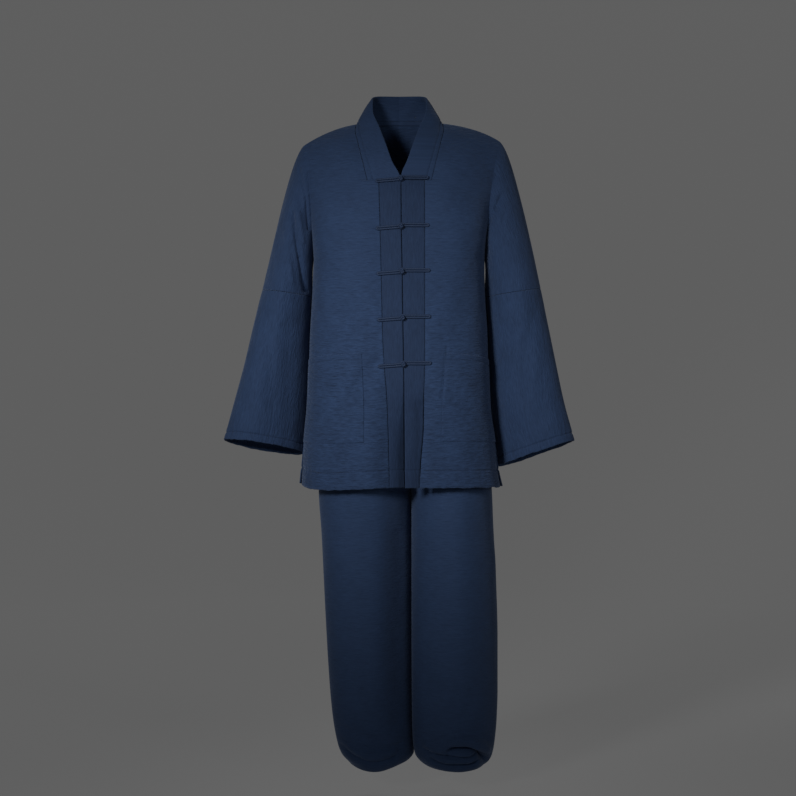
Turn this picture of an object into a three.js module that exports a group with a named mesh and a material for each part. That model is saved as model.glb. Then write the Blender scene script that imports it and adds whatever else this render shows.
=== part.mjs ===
// A tai chi uniform in its worn form: a jacket with a banded V neck and five cord
// fastenings, and loose trousers gathered at the waist and the ankles.
// Millimetres, +Z up, -Y the front. The origin is the middle of the neck at the height
// where the shoulders begin. Right and left are the wearer's, so right is -X.
import * as THREE from 'three';

// Cloth
const JACKET_WALL = 3;
const TROUSER_WALL = 2;
const POCKET_WALL = 2.2;
const SEAM_GAP = 0.3;

// Levels of the jacket, measured down from the shoulder
const BAND_FOOT = 126;
const ARMPIT = 285;
const POCKET_TOP = 480;
const VENT_TOP = 648;
const POCKET_FOOT = 662;
const JACKET_HEM = 757;

// The neck stands a little to the wearer's right of the shoulders' middle
const NECK_SHIFT = -5.5;
const CENTRE_GAP = 1;

// How far the right front band's edge turns back below the last fastening
const SHOULDER_RISE = 8;
const TURNED_BACK = 28;

// Cord fastenings
const FROG_LEVELS = [124, 223, 315.5, 410, 505];
const CORD_RADIUS = 2.1;
const KNOT_RADIUS = 5.5;
const KNOT_GAP = 0.5;
const FROG_STEPS = 6;

// Trousers
const WAIST_TOP = 420;
const WAIST_FOOT = 458;
const CUFF_TOP = 1320;
const CUFF_FOOT = 1345;
const ANKLE_RADIUS = 38.5;
const ANKLE_DEPTH = 5;
const LEG_MIDDLE = 5;
const CROTCH = 752;
const LOWEST_ROW = 1357;

// A cubic through the given rows that never overshoots them.
function smooth(keys, values) {
  const last = keys.length - 1;
  const rise = keys.slice(1).map((key, k) => (values[k + 1] - values[k]) / (key - keys[k]));
  const slope = values.map((_, k) => {
    if (k === 0) return rise[0];
    if (k === last) return rise[last - 1];
    if (rise[k - 1] * rise[k] <= 0) return 0;
    return 2 * rise[k - 1] * rise[k] / (rise[k - 1] + rise[k]);
  });
  return at => {
    const place = Math.min(Math.max(at, keys[0]), keys[last]);
    let k = 0;
    while (k < last - 1 && place > keys[k + 1]) k += 1;
    const span = keys[k + 1] - keys[k];
    const t = (place - keys[k]) / span;
    const s = 1 - t;
    return values[k] * s * s * (1 + 2 * t) + values[k + 1] * t * t * (3 - 2 * t)
      + span * s * t * (slope[k] * s - slope[k + 1] * t);
  };
}

// A table with named columns, read at any value of its first column.
function table(names, rows) {
  const columns = names.trim().split(/\s+/).slice(1);
  const keys = rows.map(row => row[0]);
  const readers = columns.map((_, c) => smooth(keys, rows.map(row => row[c + 1])));
  return at => Object.fromEntries(columns.map((name, c) => [name, readers[c](at)]));
}

const point = (x, y, z) => new THREE.Vector3(x, y, z);
const mix = (a, b, t) => a + (b - a) * t;
const fade = (from, to, at) => THREE.MathUtils.smoothstep(at, from, to);

function bezier(start, startHandle, endHandle, end, t) {
  const s = 1 - t;
  return point(0, 0, 0)
    .addScaledVector(start, s * s * s)
    .addScaledVector(startHandle, 3 * s * s * t)
    .addScaledVector(endHandle, 3 * s * t * t)
    .addScaledVector(end, t * t * t);
}

// Depth of the jacket at the band seams, and how far the middle front stands before them
const chest = table('down depth crown', [
  [126, 105.5, 6],
  [160, 117, 4],
  [205, 123, 3],
  [250, 126.5, 3],
  [285, 128, 3],
  [500, 132, 3],
  [650, 134, 3],
  [757, 138, 3],
]);

// Body of the jacket below the armpit. Shift is where its middle lies; lift raises the
// side seam above the front at the same row, so pockets and folds slope to the side.
const body = table('down half shift back lift', [
  [285, 179, -6, 116, 0],
  [325, 180, -7, 117.5, -3],
  [430, 186, -7, 120, -12],
  [480, 188, -7, 121, -16],
  [585, 192, -7, 123, -9],
  [662, 200.5, -5.5, 125, -3],
  [727, 205, -4, 127, 2],
  [757, 208.5, -2, 129, 4],
]);

// Where the middle front line and the band seams run, in x
const frontLines = table('down middle right left', [
  [126, -2.2, -48, 46.5],
  [222, -1.5, -45, 46.5],
  [300, 0, -43, 46.5],
  [434, 2, -40, 46.5],
  [500, 3, -37, 46.5],
  [567, 4, -31.5, 44.5],
  [633, 4.6, -28.5, 43.5],
  [711, 5.2, -26.5, 38],
  [757, 5.6, -26, 36],
]);

// Collar band, from the foot of the V at 0 by the shoulder at 0.55 to the middle back at 1.
// The seam joins it to the jacket, and the edge is its free side.
const collarBand = table('s seamX seamY seamZ edgeX edgeY edgeZ', [
  [0, 66, -103, -126, 0, -111.5, -126],
  [0.13, 77.4, -84, -79.4, 15.5, -97, -84.8],
  [0.25, 85.8, -58, -45, 26.4, -80, -52.4],
  [0.40, 92.4, -28, -15.5, 40.4, -52, -12.6],
  [0.55, 90, 4, 2, 55.7, -20, 28.3],
  [0.68, 78, 30, 4, 57, 8, 58],
  [0.83, 45, 52, 6, 40, 38, 66],
  [1, 0, 62, 8, 0, 51, 67],
]);
const SHOULDER = 0.55;

// Fold line where the sleeve leaves the body, from the shoulder tip at 0 to the armpit at 1.
// Turn is the share of the half ring that the row has gone round at the sleeve seam, the
// out columns are where the sleeve heads there, and back is how early it straightens.
const armholeFront = table('v x y z turn outX outY outZ back', [
  [0, 206, 5, -42, 0, 29, 0, -27, 112],
  [0.15, 203, -14, -62, 0.10, 29, -5, -24, 112],
  [0.30, 196, -32, -88, 0.22, 26, -10, -30, 104],
  [0.42, 192, -40, -115, 0.32, 24, -16, -40, 94],
  [0.55, 188, -46, -150, 0.45, 22, -20, -50, 73],
  [0.78, 183, -42, -215, 0.70, 12, -24, -40, 50],
  [0.90, 180.5, -28, -252, 0.84, 6, -14, -30, 36],
  [1, 179, 0, -285, 1, 4, 0, -25, 25],
]);
const armholeBack = table('v x y z turn outX outY outZ back', [
  [0, 206, 5, -42, 0, 29, 0, -27, 112],
  [0.15, 204, 24, -60, 0.10, 29, 6, -24, 112],
  [0.30, 199, 42, -86, 0.22, 26, 12, -30, 104],
  [0.42, 195, 52, -113, 0.32, 24, 16, -40, 94],
  [0.55, 191, 58, -150, 0.45, 22, 18, -50, 73],
  [0.78, 185, 52, -213, 0.70, 12, 22, -40, 50],
  [0.90, 181.5, 34, -251, 0.84, 6, 14, -30, 36],
  [1, 179, 0, -285, 1, 4, 0, -25, 25],
]);

// How each row of a front sets out from its seam and arrives at the armhole
const frontRows = table('v outX outY outZ inX inY inZ', [
  [0, 40, 0, -6, 30, 0, -20],
  [0.15, 38, -1, -10, 34, 8, -22],
  [0.30, 42, -3, -12, 34, 18, -20],
  [0.42, 48, -5, -12, 32, 30, -14],
  [0.55, 55, -4, -4, 30, 40, -8],
  [0.58, 62, -4, -9, 28, 43, -9],
  [0.78, 72, -3, -3, 12, 60, -2],
  [0.90, 82, -2, -1, 5, 72, 0],
  [1, 90, -2, 0, 0, 84, 0],
]);

// The same for the back, whose rows set out from the middle back
const backRows = table('v y z outX outY outZ inX inY inZ', [
  [0, 62, 8, 60, 0, -4, 36, -14, -20],
  [0.15, 72, -18, 70, 2, -6, 40, -22, -20],
  [0.30, 84, -50, 75, 2, -6, 40, -30, -16],
  [0.42, 92, -78, 80, 0, -4, 34, -36, -12],
  [0.55, 100, -118, 85, 0, -4, 26, -42, -8],
  [0.78, 110, -200, 95, 0, 0, 12, -52, 0],
  [0.90, 113, -243, 105, 0, 0, 5, -66, 0],
  [1, 116, -285, 118, 0, 0, 0, -77, 0],
]);

// Sleeve rings from the sleeve seam at 0 to the cuff at 1: the overarm and underarm points
// as seen from the front, the ring's middle and half depth, how far its front is lifted, and
// how far its inner side goes back behind the jacket's side
const sleeves = {
  right: table('q outX outZ inX inZ midY depth lift tuck', [
    [0, -293, -347, -188, -361, -2, 70, 0, 26],
    [0.25, -312, -425, -191, -442, -8, 67, 1, 42],
    [0.5, -330.5, -505, -194, -527, -14, 61, 3, 54],
    [0.75, -351.5, -585, -199.5, -612, -20, 54, 6, 60],
    [1, -372, -661, -206, -691, -24, 46, 10, 62],
  ]),
  left: table('q outX outZ inX inZ midY depth lift tuck', [
    [0, 291, -345, 174, -362, -2, 70, 0, 26],
    [0.25, 307, -425, 177.3, -447, -7, 67, 1, 41],
    [0.5, 323, -505, 180.5, -539, -12, 61, 2, 52],
    [0.75, 339.5, -584, 188.5, -631, -17, 54, 4, 57],
    [1, 361, -662, 202, -719, -20, 47, 6, 58],
  ]),
};

// Trouser legs by rows down to the lowest ring and up again inside it to the elastic cuff.
// Outer and inner are x seen from the front, front and back are half depths, wrap is the
// angle from the side seam round to the inner seam, rise lifts the ring's two sides, and
// tuck takes the right leg's inner side back behind the left leg.
const legs = {
  right: table('p down outer inner front back wrap rise tuck', [
    [458, 458, -154, -4, 106, 106, 90, 0, 0],
    [500, 500, -160, -3, 111, 110, 90, 0, 0],
    [560, 560, -167, 0, 111, 113.9, 90, 0, 0],
    [640, 640, -172, 5, 108, 112, 92, 0, 0],
    [690, 690, -174, 10, 107, 108, 110, 0, 0],
    [725, 725, -175, 14, 106, 105, 138, 0, 0],
    [752, 752, -175, 18, 105, 103, 180, 0, 0],
    [790, 790, -174, 17, 104, 101, 180, 0, 14],
    [842, 842, -170, 21, 101, 98, 180, 0, 32],
    [960, 960, -164, 22.5, 95, 91, 180, 0, 40],
    [1078, 1078, -158, 22.5, 86, 85, 180, 0, 40],
    [1187, 1187, -151, 22.5, 79, 80, 180, 0, 38],
    [1245, 1245, -145, 22, 75, 78, 180, 0, 34],
    [1299, 1299, -135, 21.5, 72, 76, 180, 0, 26],
    [1320, 1320, -127, 19.5, 69, 73, 180, 1, 20],
    [1340, 1340, -113, 10, 58, 62, 180, 5, 10],
    [1357, 1352, -104, -12, 44, 46, 180, 9, 0],
    [1372, 1338, -99, -21, 39, 39, 180, 3, 0],
    [1388, 1322, -98.5, -21.5, 38.5, 38.5, 180, 0, 0],
  ]),
  left: table('p down outer inner front back wrap rise tuck', [
    [458, 458, 146, -4, 106, 106, 90, 0, 0],
    [500, 500, 154, -3, 111, 110, 90, 0, 0],
    [560, 560, 165, 0, 111, 113.9, 90, 0, 0],
    [640, 640, 175, 5, 108, 112, 92, 0, 0],
    [690, 690, 181, 10, 107, 108, 110, 0, 0],
    [725, 725, 186, 14, 106, 105, 138, 0, 0],
    [752, 752, 188, 18, 105, 103, 180, 0, 0],
    [790, 790, 190, 20, 104, 101, 180, 0, 0],
    [842, 842, 192, 20, 102, 98, 180, 0, 0],
    [960, 960, 198, 20, 96, 92, 180, 0, 0],
    [1078, 1078, 201, 20, 89, 87, 180, 0, 0],
    [1187, 1187, 201, 20.5, 82, 83, 180, 0, 0],
    [1245, 1245, 199, 21, 79, 81, 180, 0, 0],
    [1290, 1290, 195, 23, 77, 79, 180, 0, 0],
    [1320, 1320, 190, 29, 72, 75, 180, 1, 0],
    [1340, 1340, 181, 42, 64, 66, 180, 3, 0],
    [1357, 1350, 165, 58, 52, 52, 180, 5, 0],
    [1372, 1338, 150, 70, 41, 41, 180, 2, 0],
    [1388, 1322, 148.5, 71.5, 38.5, 38.5, 180, 0, 0],
  ]),
};
const ANKLE_X = { right: -60, left: 110 };

// Soft troughs and ridges pressed into the cloth, seen from the front: the two ends of each,
// how wide it is, and how deep it is. A ridge has a negative depth.
const jacketFolds = rowsOf('x1 z1 x2 z2 width depth', [
  [-51, -500, -102, -567, 15, 5],
  [-60, -520, -66, -740, 26, -4],
  [39, -590, 38, -756, 12, 5],
  [-140, -350, -108, -460, 26, 4],
  [138, -350, 118, -450, 26, 4],
]);
const sleeveFolds = rowsOf('x1 z1 x2 z2 width depth', [
  [193, -111, 181, -141, 9, 5],
  [205, -157, 180, -210, 10, 6],
  [-214, -150, -196, -205, 10, 6],
  [-236, -270, -210, -345, 14, 5],
  [275, -393, 244, -567, 16, 5],
  [300, -420, 290, -610, 18, 4],
  [-282, -400, -268, -590, 18, 5],
  [-240, -430, -236, -600, 16, 4],
]);
const legFolds = rowsOf('x1 z1 x2 z2 width depth', [
  [92, -1290, 160, -1292, 9, 9],
  [46, -1296, 128, -1302, 8, 8],
  [60, -1304, 168, -1304, 8, -6],
  [56, -1318, 150, -1320, 9, 7],
  [-40, -800, -52, -1180, 30, -5],
  [-6, -860, -8, -1250, 20, 7],
  [120, -830, 128, -1150, 34, -5],
  [-110, -1290, -10, -1300, 18, 5],
]);

function rowsOf(names, rows) {
  const columns = names.split(' ');
  return rows.map(row => Object.fromEntries(columns.map((name, c) => [name, row[c]])));
}

// Presses the folds into a point of the front: how far back it goes falls off with its
// distance from the fold's line, as a bell.
function fold(at, folds) {
  for (const { x1, z1, x2, z2, width, depth } of folds) {
    const runX = x2 - x1;
    const runZ = z2 - z1;
    const along = ((at.x - x1) * runX + (at.z - z1) * runZ) / (runX * runX + runZ * runZ);
    const near = Math.min(Math.max(along, 0), 1);
    const gap = Math.hypot(at.x - x1 - runX * near, at.z - z1 - runZ * near);
    at.y += depth * Math.exp(-((gap / width) ** 2));
  }
  return at;
}

// The same with only a share of the folds, so that a seam keeps its line.
const press = (at, folds, share) => at.clone().lerp(fold(at.clone(), folds), share);

// The jacket's surface. A side is right or left, and its sign is the direction of x.
const SIDES = ['right', 'left'];
const signOf = side => (side === 'left' ? 1 : -1);

function neckSeam(side, s) {
  const band = collarBand(s);
  return point(NECK_SHIFT + signOf(side) * band.seamX, band.seamY, band.seamZ);
}

// The line where the collar ends and the front bands begin is straight and level, so its
// depth only depends on how far it is from the collar's corner.
function footDepth(side, x) {
  const corner = neckSeam(side, 0);
  const { middle } = frontLines(BAND_FOOT);
  const { depth, crown } = chest(BAND_FOOT);
  return mix(corner.y, -depth - crown, (x - corner.x) / (middle - corner.x));
}

// Rows of the jacket run from 0 at the shoulder by 1 at the armpit to 2 at the hem.
const FOOT_ROW = SHOULDER + 0.03;
function downOf(v) {
  if (v <= 1) return mix(BAND_FOOT, ARMPIT, (v - FOOT_ROW) / (1 - FOOT_ROW));
  return mix(ARMPIT, JACKET_HEM, v - 1);
}
const rowAt = down => 1 + (down - ARMPIT) / (JACKET_HEM - ARMPIT);

const settledAt = down => fade(BAND_FOOT, BAND_FOOT + 20, down);

function bandSeam(side, down) {
  const foot = footDepth(side, frontLines(BAND_FOOT)[side]) + chest(BAND_FOOT).depth;
  const y = foot * (1 - settledAt(down)) - chest(down).depth;
  return point(frontLines(down)[side], y, -down);
}

function frontStart(side, v) {
  if (v <= SHOULDER) return neckSeam(side, SHOULDER - v);
  return bandSeam(side, downOf(Math.max(v, FOOT_ROW)));
}

// The side seam opens below the vent's top: the front edge goes forward, the back edge out,
// and on the left both hang lower.
function sideSeam(side, down, face) {
  const { half, shift, lift } = body(down);
  const open = Math.max(0, (down - VENT_TOP) / (JACKET_HEM - VENT_TOP));
  const x = shift + signOf(side) * (half + (face === 'back' ? 5 : -1) * open);
  const y = 2 + (face === 'back' ? 9 : -7) * open;
  const hang = side === 'left' ? 6 * open : 0;
  return point(x, y, lift - down - hang);
}

function armhole(side, face, v) {
  const row = (face === 'front' ? armholeFront : armholeBack)(v);
  const shift = body(ARMPIT).shift * fade(0, 1, v);
  return { row, at: point(shift + signOf(side) * row.x, row.y, row.z) };
}

function frontPoint(side, t, v) {
  const sign = signOf(side);
  const start = frontStart(side, v);
  if (v > 1) {
    const end = sideSeam(side, downOf(v), 'front');
    const startHandle = point(mix(start.x, end.x, 0.68), start.y - 2, mix(start.z, end.z, 0.3));
    const endHandle = point(end.x, mix(end.y, start.y, 0.65), mix(end.z, start.z, 0.3));
    return press(bezier(start, startHandle, endHandle, end, t), jacketFolds, 1 - t ** 6);
  }
  const row = frontRows(v);
  const end = armhole(side, 'front', v).at;
  const startHandle = start.clone().add(point(sign * row.outX, row.outY, row.outZ));
  const endHandle = end.clone().sub(point(sign * row.inX, row.inY, row.inZ));
  return press(bezier(start, startHandle, endHandle, end, t), jacketFolds, 1 - t ** 6);
}

// The back's first row is the shoulder seams and the neck seam. It dies away by row 0.5.
const NECK_SHARE = 0.3;
function backPoint(side, u, v) {
  const sign = signOf(side);
  if (v > 1) {
    const down = downOf(v);
    const { back, shift } = body(down);
    const start = point(shift, back, -down);
    const end = sideSeam(side, down, 'back');
    const startHandle = point(mix(start.x, end.x, 0.66), start.y, mix(start.z, end.z, 0.3));
    const endHandle = point(end.x, mix(end.y, start.y, 0.66), mix(end.z, start.z, 0.3));
    return bezier(start, startHandle, endHandle, end, u);
  }
  const across = at => {
    const row = backRows(at);
    const start = point(mix(NECK_SHIFT, body(ARMPIT).shift, at), row.y, row.z);
    const end = armhole(side, 'back', at).at;
    const startHandle = start.clone().add(point(sign * row.outX, row.outY, row.outZ));
    const endHandle = end.clone().sub(point(sign * row.inX, row.inY, row.inZ));
    return bezier(start, startHandle, endHandle, end, u);
  };
  const first = u < NECK_SHARE
    ? neckSeam(side, mix(1, SHOULDER, u / NECK_SHARE))
    : frontPoint(side, (u - NECK_SHARE) / (1 - NECK_SHARE), 0);
  const left = Math.max(0, 1 - v / 0.5) ** 2;
  return across(v).addScaledVector(first.sub(across(0)), left);
}

// Sleeve from its seam to the cuff. The angle goes from the overarm by the front.
function sleevePoint(side, angle, q) {
  const ring = sleeves[side](q);
  const across = (1 + Math.cos(angle)) / 2;
  const place = point(
    mix(ring.inX, ring.outX, across),
    ring.midY - ring.depth * Math.sin(angle) + ring.tuck * (1 - across) ** 3,
    mix(ring.inZ, ring.outZ, across) + ring.lift * Math.sin(angle),
  );
  return press(place, sleeveFolds, Math.max(0, Math.sin(angle)) * fade(0, 0.1, q));
}

// Upper sleeve, in one with the body: each row leaves the armhole and joins the sleeve.
function upperSleevePoint(side, face, v, w) {
  const { row, at } = armhole(side, face, v);
  const angle = Math.PI * row.turn * (face === 'front' ? 1 : -1);
  const end = sleevePoint(side, angle, 0);
  const next = sleevePoint(side, angle, 0.02).sub(end).normalize();
  const startHandle = at.clone().add(point(signOf(side) * row.outX, row.outY, row.outZ));
  const endHandle = end.clone().addScaledVector(next, -row.back);
  const place = bezier(at, startHandle, endHandle, end, w);
  if (face === 'back') return place;
  return press(place, sleeveFolds, Math.sin(Math.PI * w) * Math.min(1, 3 * Math.sin(Math.PI * v)));
}

// Front band from its seam at 0 to the middle front at 1. Below the last fastening the
// right one steps back beside its seam, and its edge lies behind the left one.
function placketPoint(side, c, down) {
  const seam = bandSeam(side, down);
  const { middle } = frontLines(down);
  const turned = side === 'right' ? fade(525, 650, down) : 0;
  const x = mix(seam.x, middle + signOf(side) * CENTRE_GAP / 2, c);
  const { depth, crown } = chest(down);
  const y = mix(seam.y, -depth - crown, mix(c, 1 - (1 - c) ** 2, settledAt(down)));
  return fold(point(x, y + TURNED_BACK * turned * Math.min(1, 2 * c), -down), jacketFolds);
}

// Collar band from its seam at 0 to its free edge at 1, rounded out a little between them
function collarPoint(side, c, s) {
  const sign = signOf(side);
  const band = collarBand(s);
  const middle = frontLines(BAND_FOOT).middle + sign * CENTRE_GAP / 2;
  const edgeX = mix(middle, NECK_SHIFT + sign * band.edgeX, fade(0, 0.13, s) ** 0.6);
  const full = 2.5 + 5 * fade(0.42, 0.6, s) * (1 - fade(0.7, 0.95, s));
  const round = full * Math.sin(Math.PI * c) * fade(0, 0.2, s);
  const sideways = fade(0.2, 0.5, s) - fade(0.75, 1, s);
  return point(
    mix(NECK_SHIFT + sign * band.seamX, edgeX, c) + sign * round * sideways,
    mix(band.seamY, band.edgeY, c) - round * (1 - 2 * fade(0.45, 0.8, s)),
    mix(band.seamZ, band.edgeZ, c),
  );
}

// Trouser leg from the side seam at 0 to the inner seam at 1, or to the middle seam above
// the crotch, where the legs are one.
function legPoint(side, face, u, p) {
  const row = legs[side](p);
  const wrap = THREE.MathUtils.degToRad(row.wrap);
  const angle = wrap * u;
  const inner = p < CROTCH ? legs.right(p).inner : row.inner;
  const x = mix(row.outer, inner, (1 - Math.cos(angle)) / (1 - Math.cos(wrap)));
  const depth = face === 'front' ? -row.front : row.back;
  const tucked = row.tuck * ((1 - Math.cos(angle)) / 2) ** 3;
  const y = LEG_MIDDLE + depth * Math.sin(angle) + tucked;
  const place = point(x, y, -row.down + row.rise * Math.cos(angle) ** 2);
  if (face === 'back' || p > LOWEST_ROW) return place;
  return press(place, legFolds, Math.min(1, 2 * Math.sin(Math.PI * u)));
}

// The left shoulder stands a little higher than the right one, most at its tip.
function raised(at) {
  at.z += SHOULDER_RISE * fade(40, 200, at.x) * fade(-160, -40, at.z);
  return at;
}

// A sheet of four-sided cells. Points that fall on one place are one point, so grids that
// share an edge are joined along it.
class Sheet {
  constructor() {
    this.points = [];
    this.cells = [];
    this.places = new Map();
  }

  static place(at) {
    return at.toArray().map(value => Math.round(value * 100)).join();
  }

  add(at) {
    const place = Sheet.place(at);
    if (!this.places.has(place)) {
      this.places.set(place, this.points.length);
      this.points.push(at);
    }
    return this.places.get(place);
  }

  // Cells face out when across goes to +X and along goes down a front; turned is the rest.
  grid(across, along, at, turned) {
    const rows = across.map(u => along.map(v => this.add(at(u, v))));
    for (let i = 0; i + 1 < across.length; i += 1) {
      for (let j = 0; j + 1 < along.length; j += 1) {
        const cell = [rows[i][j], rows[i][j + 1], rows[i + 1][j + 1], rows[i + 1][j]];
        this.cells.push(turned ? cell.reverse() : cell);
      }
    }
    return this;
  }
}

// Normals at the points of a whole garment, summed over all of its sheets, so that two
// walls that meet at a seam are cut by the same face.
function normalsOf(sheets) {
  const sums = new Map();
  for (const { points, cells } of sheets) {
    for (const [a, b, c, d] of cells) {
      const normal = points[c].clone().sub(points[a]).cross(points[d].clone().sub(points[b]));
      for (const corner of [a, b, c, d]) {
        const place = Sheet.place(points[corner]);
        if (!sums.has(place)) sums.set(place, point(0, 0, 0));
        sums.get(place).add(normal);
      }
    }
  }
  return at => sums.get(Sheet.place(at)).clone().normalize();
}

// A wall of cloth: the sheet is its outer face, raised by lift, and its edges are drawn in
// by half of the seam gap.
function wall(sheet, normalAt, thickness, lift = 0) {
  const normals = sheet.points.map(normalAt);
  const edges = new Map(sheet.cells.flatMap(cell => cell.map(
    (a, k) => [`${a} ${cell[(k + 1) % 4]}`, [a, cell[(k + 1) % 4], cell[(k + 2) % 4]]],
  )));
  const open = [...edges.values()].filter(([a, b]) => !edges.has(`${b} ${a}`));
  const draw = new Map();
  for (const [a, b, next] of open) {
    const run = sheet.points[b].clone().sub(sheet.points[a]).normalize();
    const across = sheet.points[next].clone().sub(sheet.points[b]).projectOnPlane(run).normalize();
    for (const corner of [a, b]) {
      const inward = normals[corner].clone().cross(run).normalize();
      // Where body and sleeve part at the armpit, only the cell itself tells what is inward
      if (inward.dot(across) < 0) inward.copy(across);
      draw.set(corner, (draw.get(corner) ?? point(0, 0, 0)).add(inward));
    }
  }
  const outer = sheet.points.map((at, k) => {
    const moved = at.clone().addScaledVector(normals[k], lift);
    if (draw.has(k)) moved.addScaledVector(draw.get(k).normalize(), SEAM_GAP / 2);
    return moved;
  });
  const inner = outer.map((at, k) => at.clone().addScaledVector(normals[k], -thickness));
  const count = outer.length;
  const faces = [];
  for (const [a, b, c, d] of sheet.cells) {
    const short = outer[a].distanceTo(outer[c]) <= outer[b].distanceTo(outer[d]);
    const halves = short ? [[a, b, c], [a, c, d]] : [[a, b, d], [b, c, d]];
    for (const [e, f, g] of halves) faces.push([e, f, g], [g + count, f + count, e + count]);
  }
  for (const [a, b] of open) {
    const first = Sheet.place(sheet.points[a]) < Sheet.place(sheet.points[b]);
    const [c, d] = [a + count, b + count];
    faces.push(...(first ? [[b, a, d], [a, c, d]] : [[b, a, c], [b, c, d]]));
  }
  return geometryOf([...outer, ...inner], faces);
}

// A closed solid through rings of points, each ring going the same way round.
function loft(rings) {
  const size = rings[0].length;
  const faces = [];
  for (let r = 0; r + 1 < rings.length; r += 1) {
    for (let k = 0; k < size; k += 1) {
      const a = r * size + k;
      const b = r * size + (k + 1) % size;
      faces.push([a, b, b + size], [a, b + size, a + size]);
    }
  }
  const last = (rings.length - 1) * size;
  for (let k = 1; k + 1 < size; k += 1) {
    faces.push([0, k + 1, k], [last, last + k, last + k + 1]);
  }
  return geometryOf(rings.flat(), faces);
}

function geometryOf(points, faces) {
  const geometry = new THREE.BufferGeometry();
  geometry.setAttribute('position', new THREE.Float32BufferAttribute(points.flatMap(at => at.toArray()), 3));
  geometry.setIndex(faces.flat());
  geometry.computeVertexNormals();
  return geometry;
}

const evenly = count => Array.from({ length: count + 1 }, (_, k) => k / count);

// Rows and columns of the sheets
const UPPER_ROWS = [0, 0.08, 0.17, 0.28, 0.41, SHOULDER, FOOT_ROW, 0.67, 0.78, 0.89, 1];
const BACK_UPPER_ROWS = UPPER_ROWS.filter(v => v !== FOOT_ROW);
const BODY_LEVELS = [
  ARMPIT, 330, 380, 430, POCKET_TOP, 530, 585, 620, VENT_TOP, POCKET_FOOT, 692, 722, JACKET_HEM,
];
const FRONT_COLUMNS = [0, 0.15, 0.3, 0.44, 0.58, 0.71, 0.83, 0.93, 1];
const SLEEVE_COLUMNS = [0, 0.12, 0.28, 0.48, 0.74, 1];
const COLLAR_COLUMNS = [0, 0.29, 0.645, 1];
const LEG_ROWS = [
  WAIST_FOOT, 500, 560, 610, 650, 680, 705, 725, 740, CROTCH, 790, 850, 930, 1010, 1090,
  1165, 1225, 1262, 1284, 1300, 1313, 1327, 1340, 1350, LOWEST_ROW, 1365, 1373, 1388,
];
const LEG_COLUMNS = evenly(8);
const NECK_COLUMNS = evenly(4);
const bodyRows = BODY_LEVELS.map(rowAt);

// How far along its row each column of a front lies; the one at the pocket's inner edge
// follows that edge, which leans on the left.
function columnAt(side, t, v) {
  if (t !== FRONT_COLUMNS[1] || side === 'right') return t;
  return mix(0.16, 0.128, fade(rowAt(POCKET_TOP), rowAt(POCKET_FOOT), v));
}

const jacket = {};
for (const side of SIDES) {
  const turned = side === 'right';
  jacket[`jacket_front_${side}`] = new Sheet()
    .grid(FRONT_COLUMNS, [...UPPER_ROWS, ...bodyRows.slice(1)],
      (t, v) => raised(frontPoint(side, columnAt(side, t, v), v)), turned)
    .grid(SLEEVE_COLUMNS, UPPER_ROWS,
      (w, v) => raised(upperSleevePoint(side, 'front', v, w)), turned);
  const placketLevels = [BAND_FOOT, ...UPPER_ROWS.slice(7).map(downOf), ...BODY_LEVELS.slice(1)];
  jacket[`placket_${side}`] = new Sheet()
    .grid([0, 0.5, 1], placketLevels, (c, down) => placketPoint(side, c, down), !turned);
  const angles = [
    ...UPPER_ROWS.map(v => Math.PI * armholeFront(v).turn),
    ...BACK_UPPER_ROWS.slice(0, -1).reverse().map(v => -Math.PI * armholeBack(v).turn),
  ];
  jacket[`sleeve_${side}`] = new Sheet()
    .grid(angles, evenly(8), (angle, q) => sleevePoint(side, angle, q), !turned);
}
jacket.jacket_back = new Sheet();
jacket.collar = new Sheet();
for (const side of SIDES) {
  const turned = side === 'right';
  const columns = [
    ...NECK_COLUMNS.slice(0, -1).map(share => share * NECK_SHARE),
    ...FRONT_COLUMNS.map(t => mix(NECK_SHARE, 1, columnAt(side, t, 0))),
  ];
  jacket.jacket_back
    .grid(columns, [...BACK_UPPER_ROWS, ...bodyRows.slice(1)],
      (u, v) => raised(backPoint(side, u, v)), !turned)
    .grid(SLEEVE_COLUMNS, BACK_UPPER_ROWS,
      (w, v) => raised(upperSleevePoint(side, 'back', v, w)), !turned);
  const stations = [
    ...UPPER_ROWS.filter(v => v <= SHOULDER).map(v => SHOULDER - v).reverse(),
    ...NECK_COLUMNS.slice(1).map(share => mix(SHOULDER, 1, share)),
  ];
  jacket.collar
    .grid(COLLAR_COLUMNS, stations, (c, s) => raised(collarPoint(side, c, s)), turned);
}

const trousers = {};
for (const side of SIDES) {
  for (const face of ['front', 'back']) {
    const turned = (side === 'left') === (face === 'front');
    trousers[`trouser_${face}_${side}`] = new Sheet()
      .grid(LEG_COLUMNS, LEG_ROWS, (u, p) => legPoint(side, face, u, p), turned);
  }
}

// Colours of the cloth and the cord, and the finish of each
const cloth = new THREE.MeshStandardMaterial({ color: 0x263a5c, roughness: 0.85, metalness: 0 });
const cord = new THREE.MeshStandardMaterial({ color: 0x22365a, roughness: 0.7, metalness: 0 });
const uniform = new THREE.Group();

function addPiece(name, geometry, material = cloth) {
  const mesh = new THREE.Mesh(geometry, material);
  mesh.name = name;
  uniform.add(mesh);
}

const jacketNormal = normalsOf(Object.values(jacket));
for (const [name, sheet] of Object.entries(jacket)) {
  addPiece(name, wall(sheet, jacketNormal, JACKET_WALL));
}
const trouserNormal = normalsOf(Object.values(trousers));
for (const [name, sheet] of Object.entries(trousers)) {
  addPiece(name, wall(sheet, trouserNormal, TROUSER_WALL));
}

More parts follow.
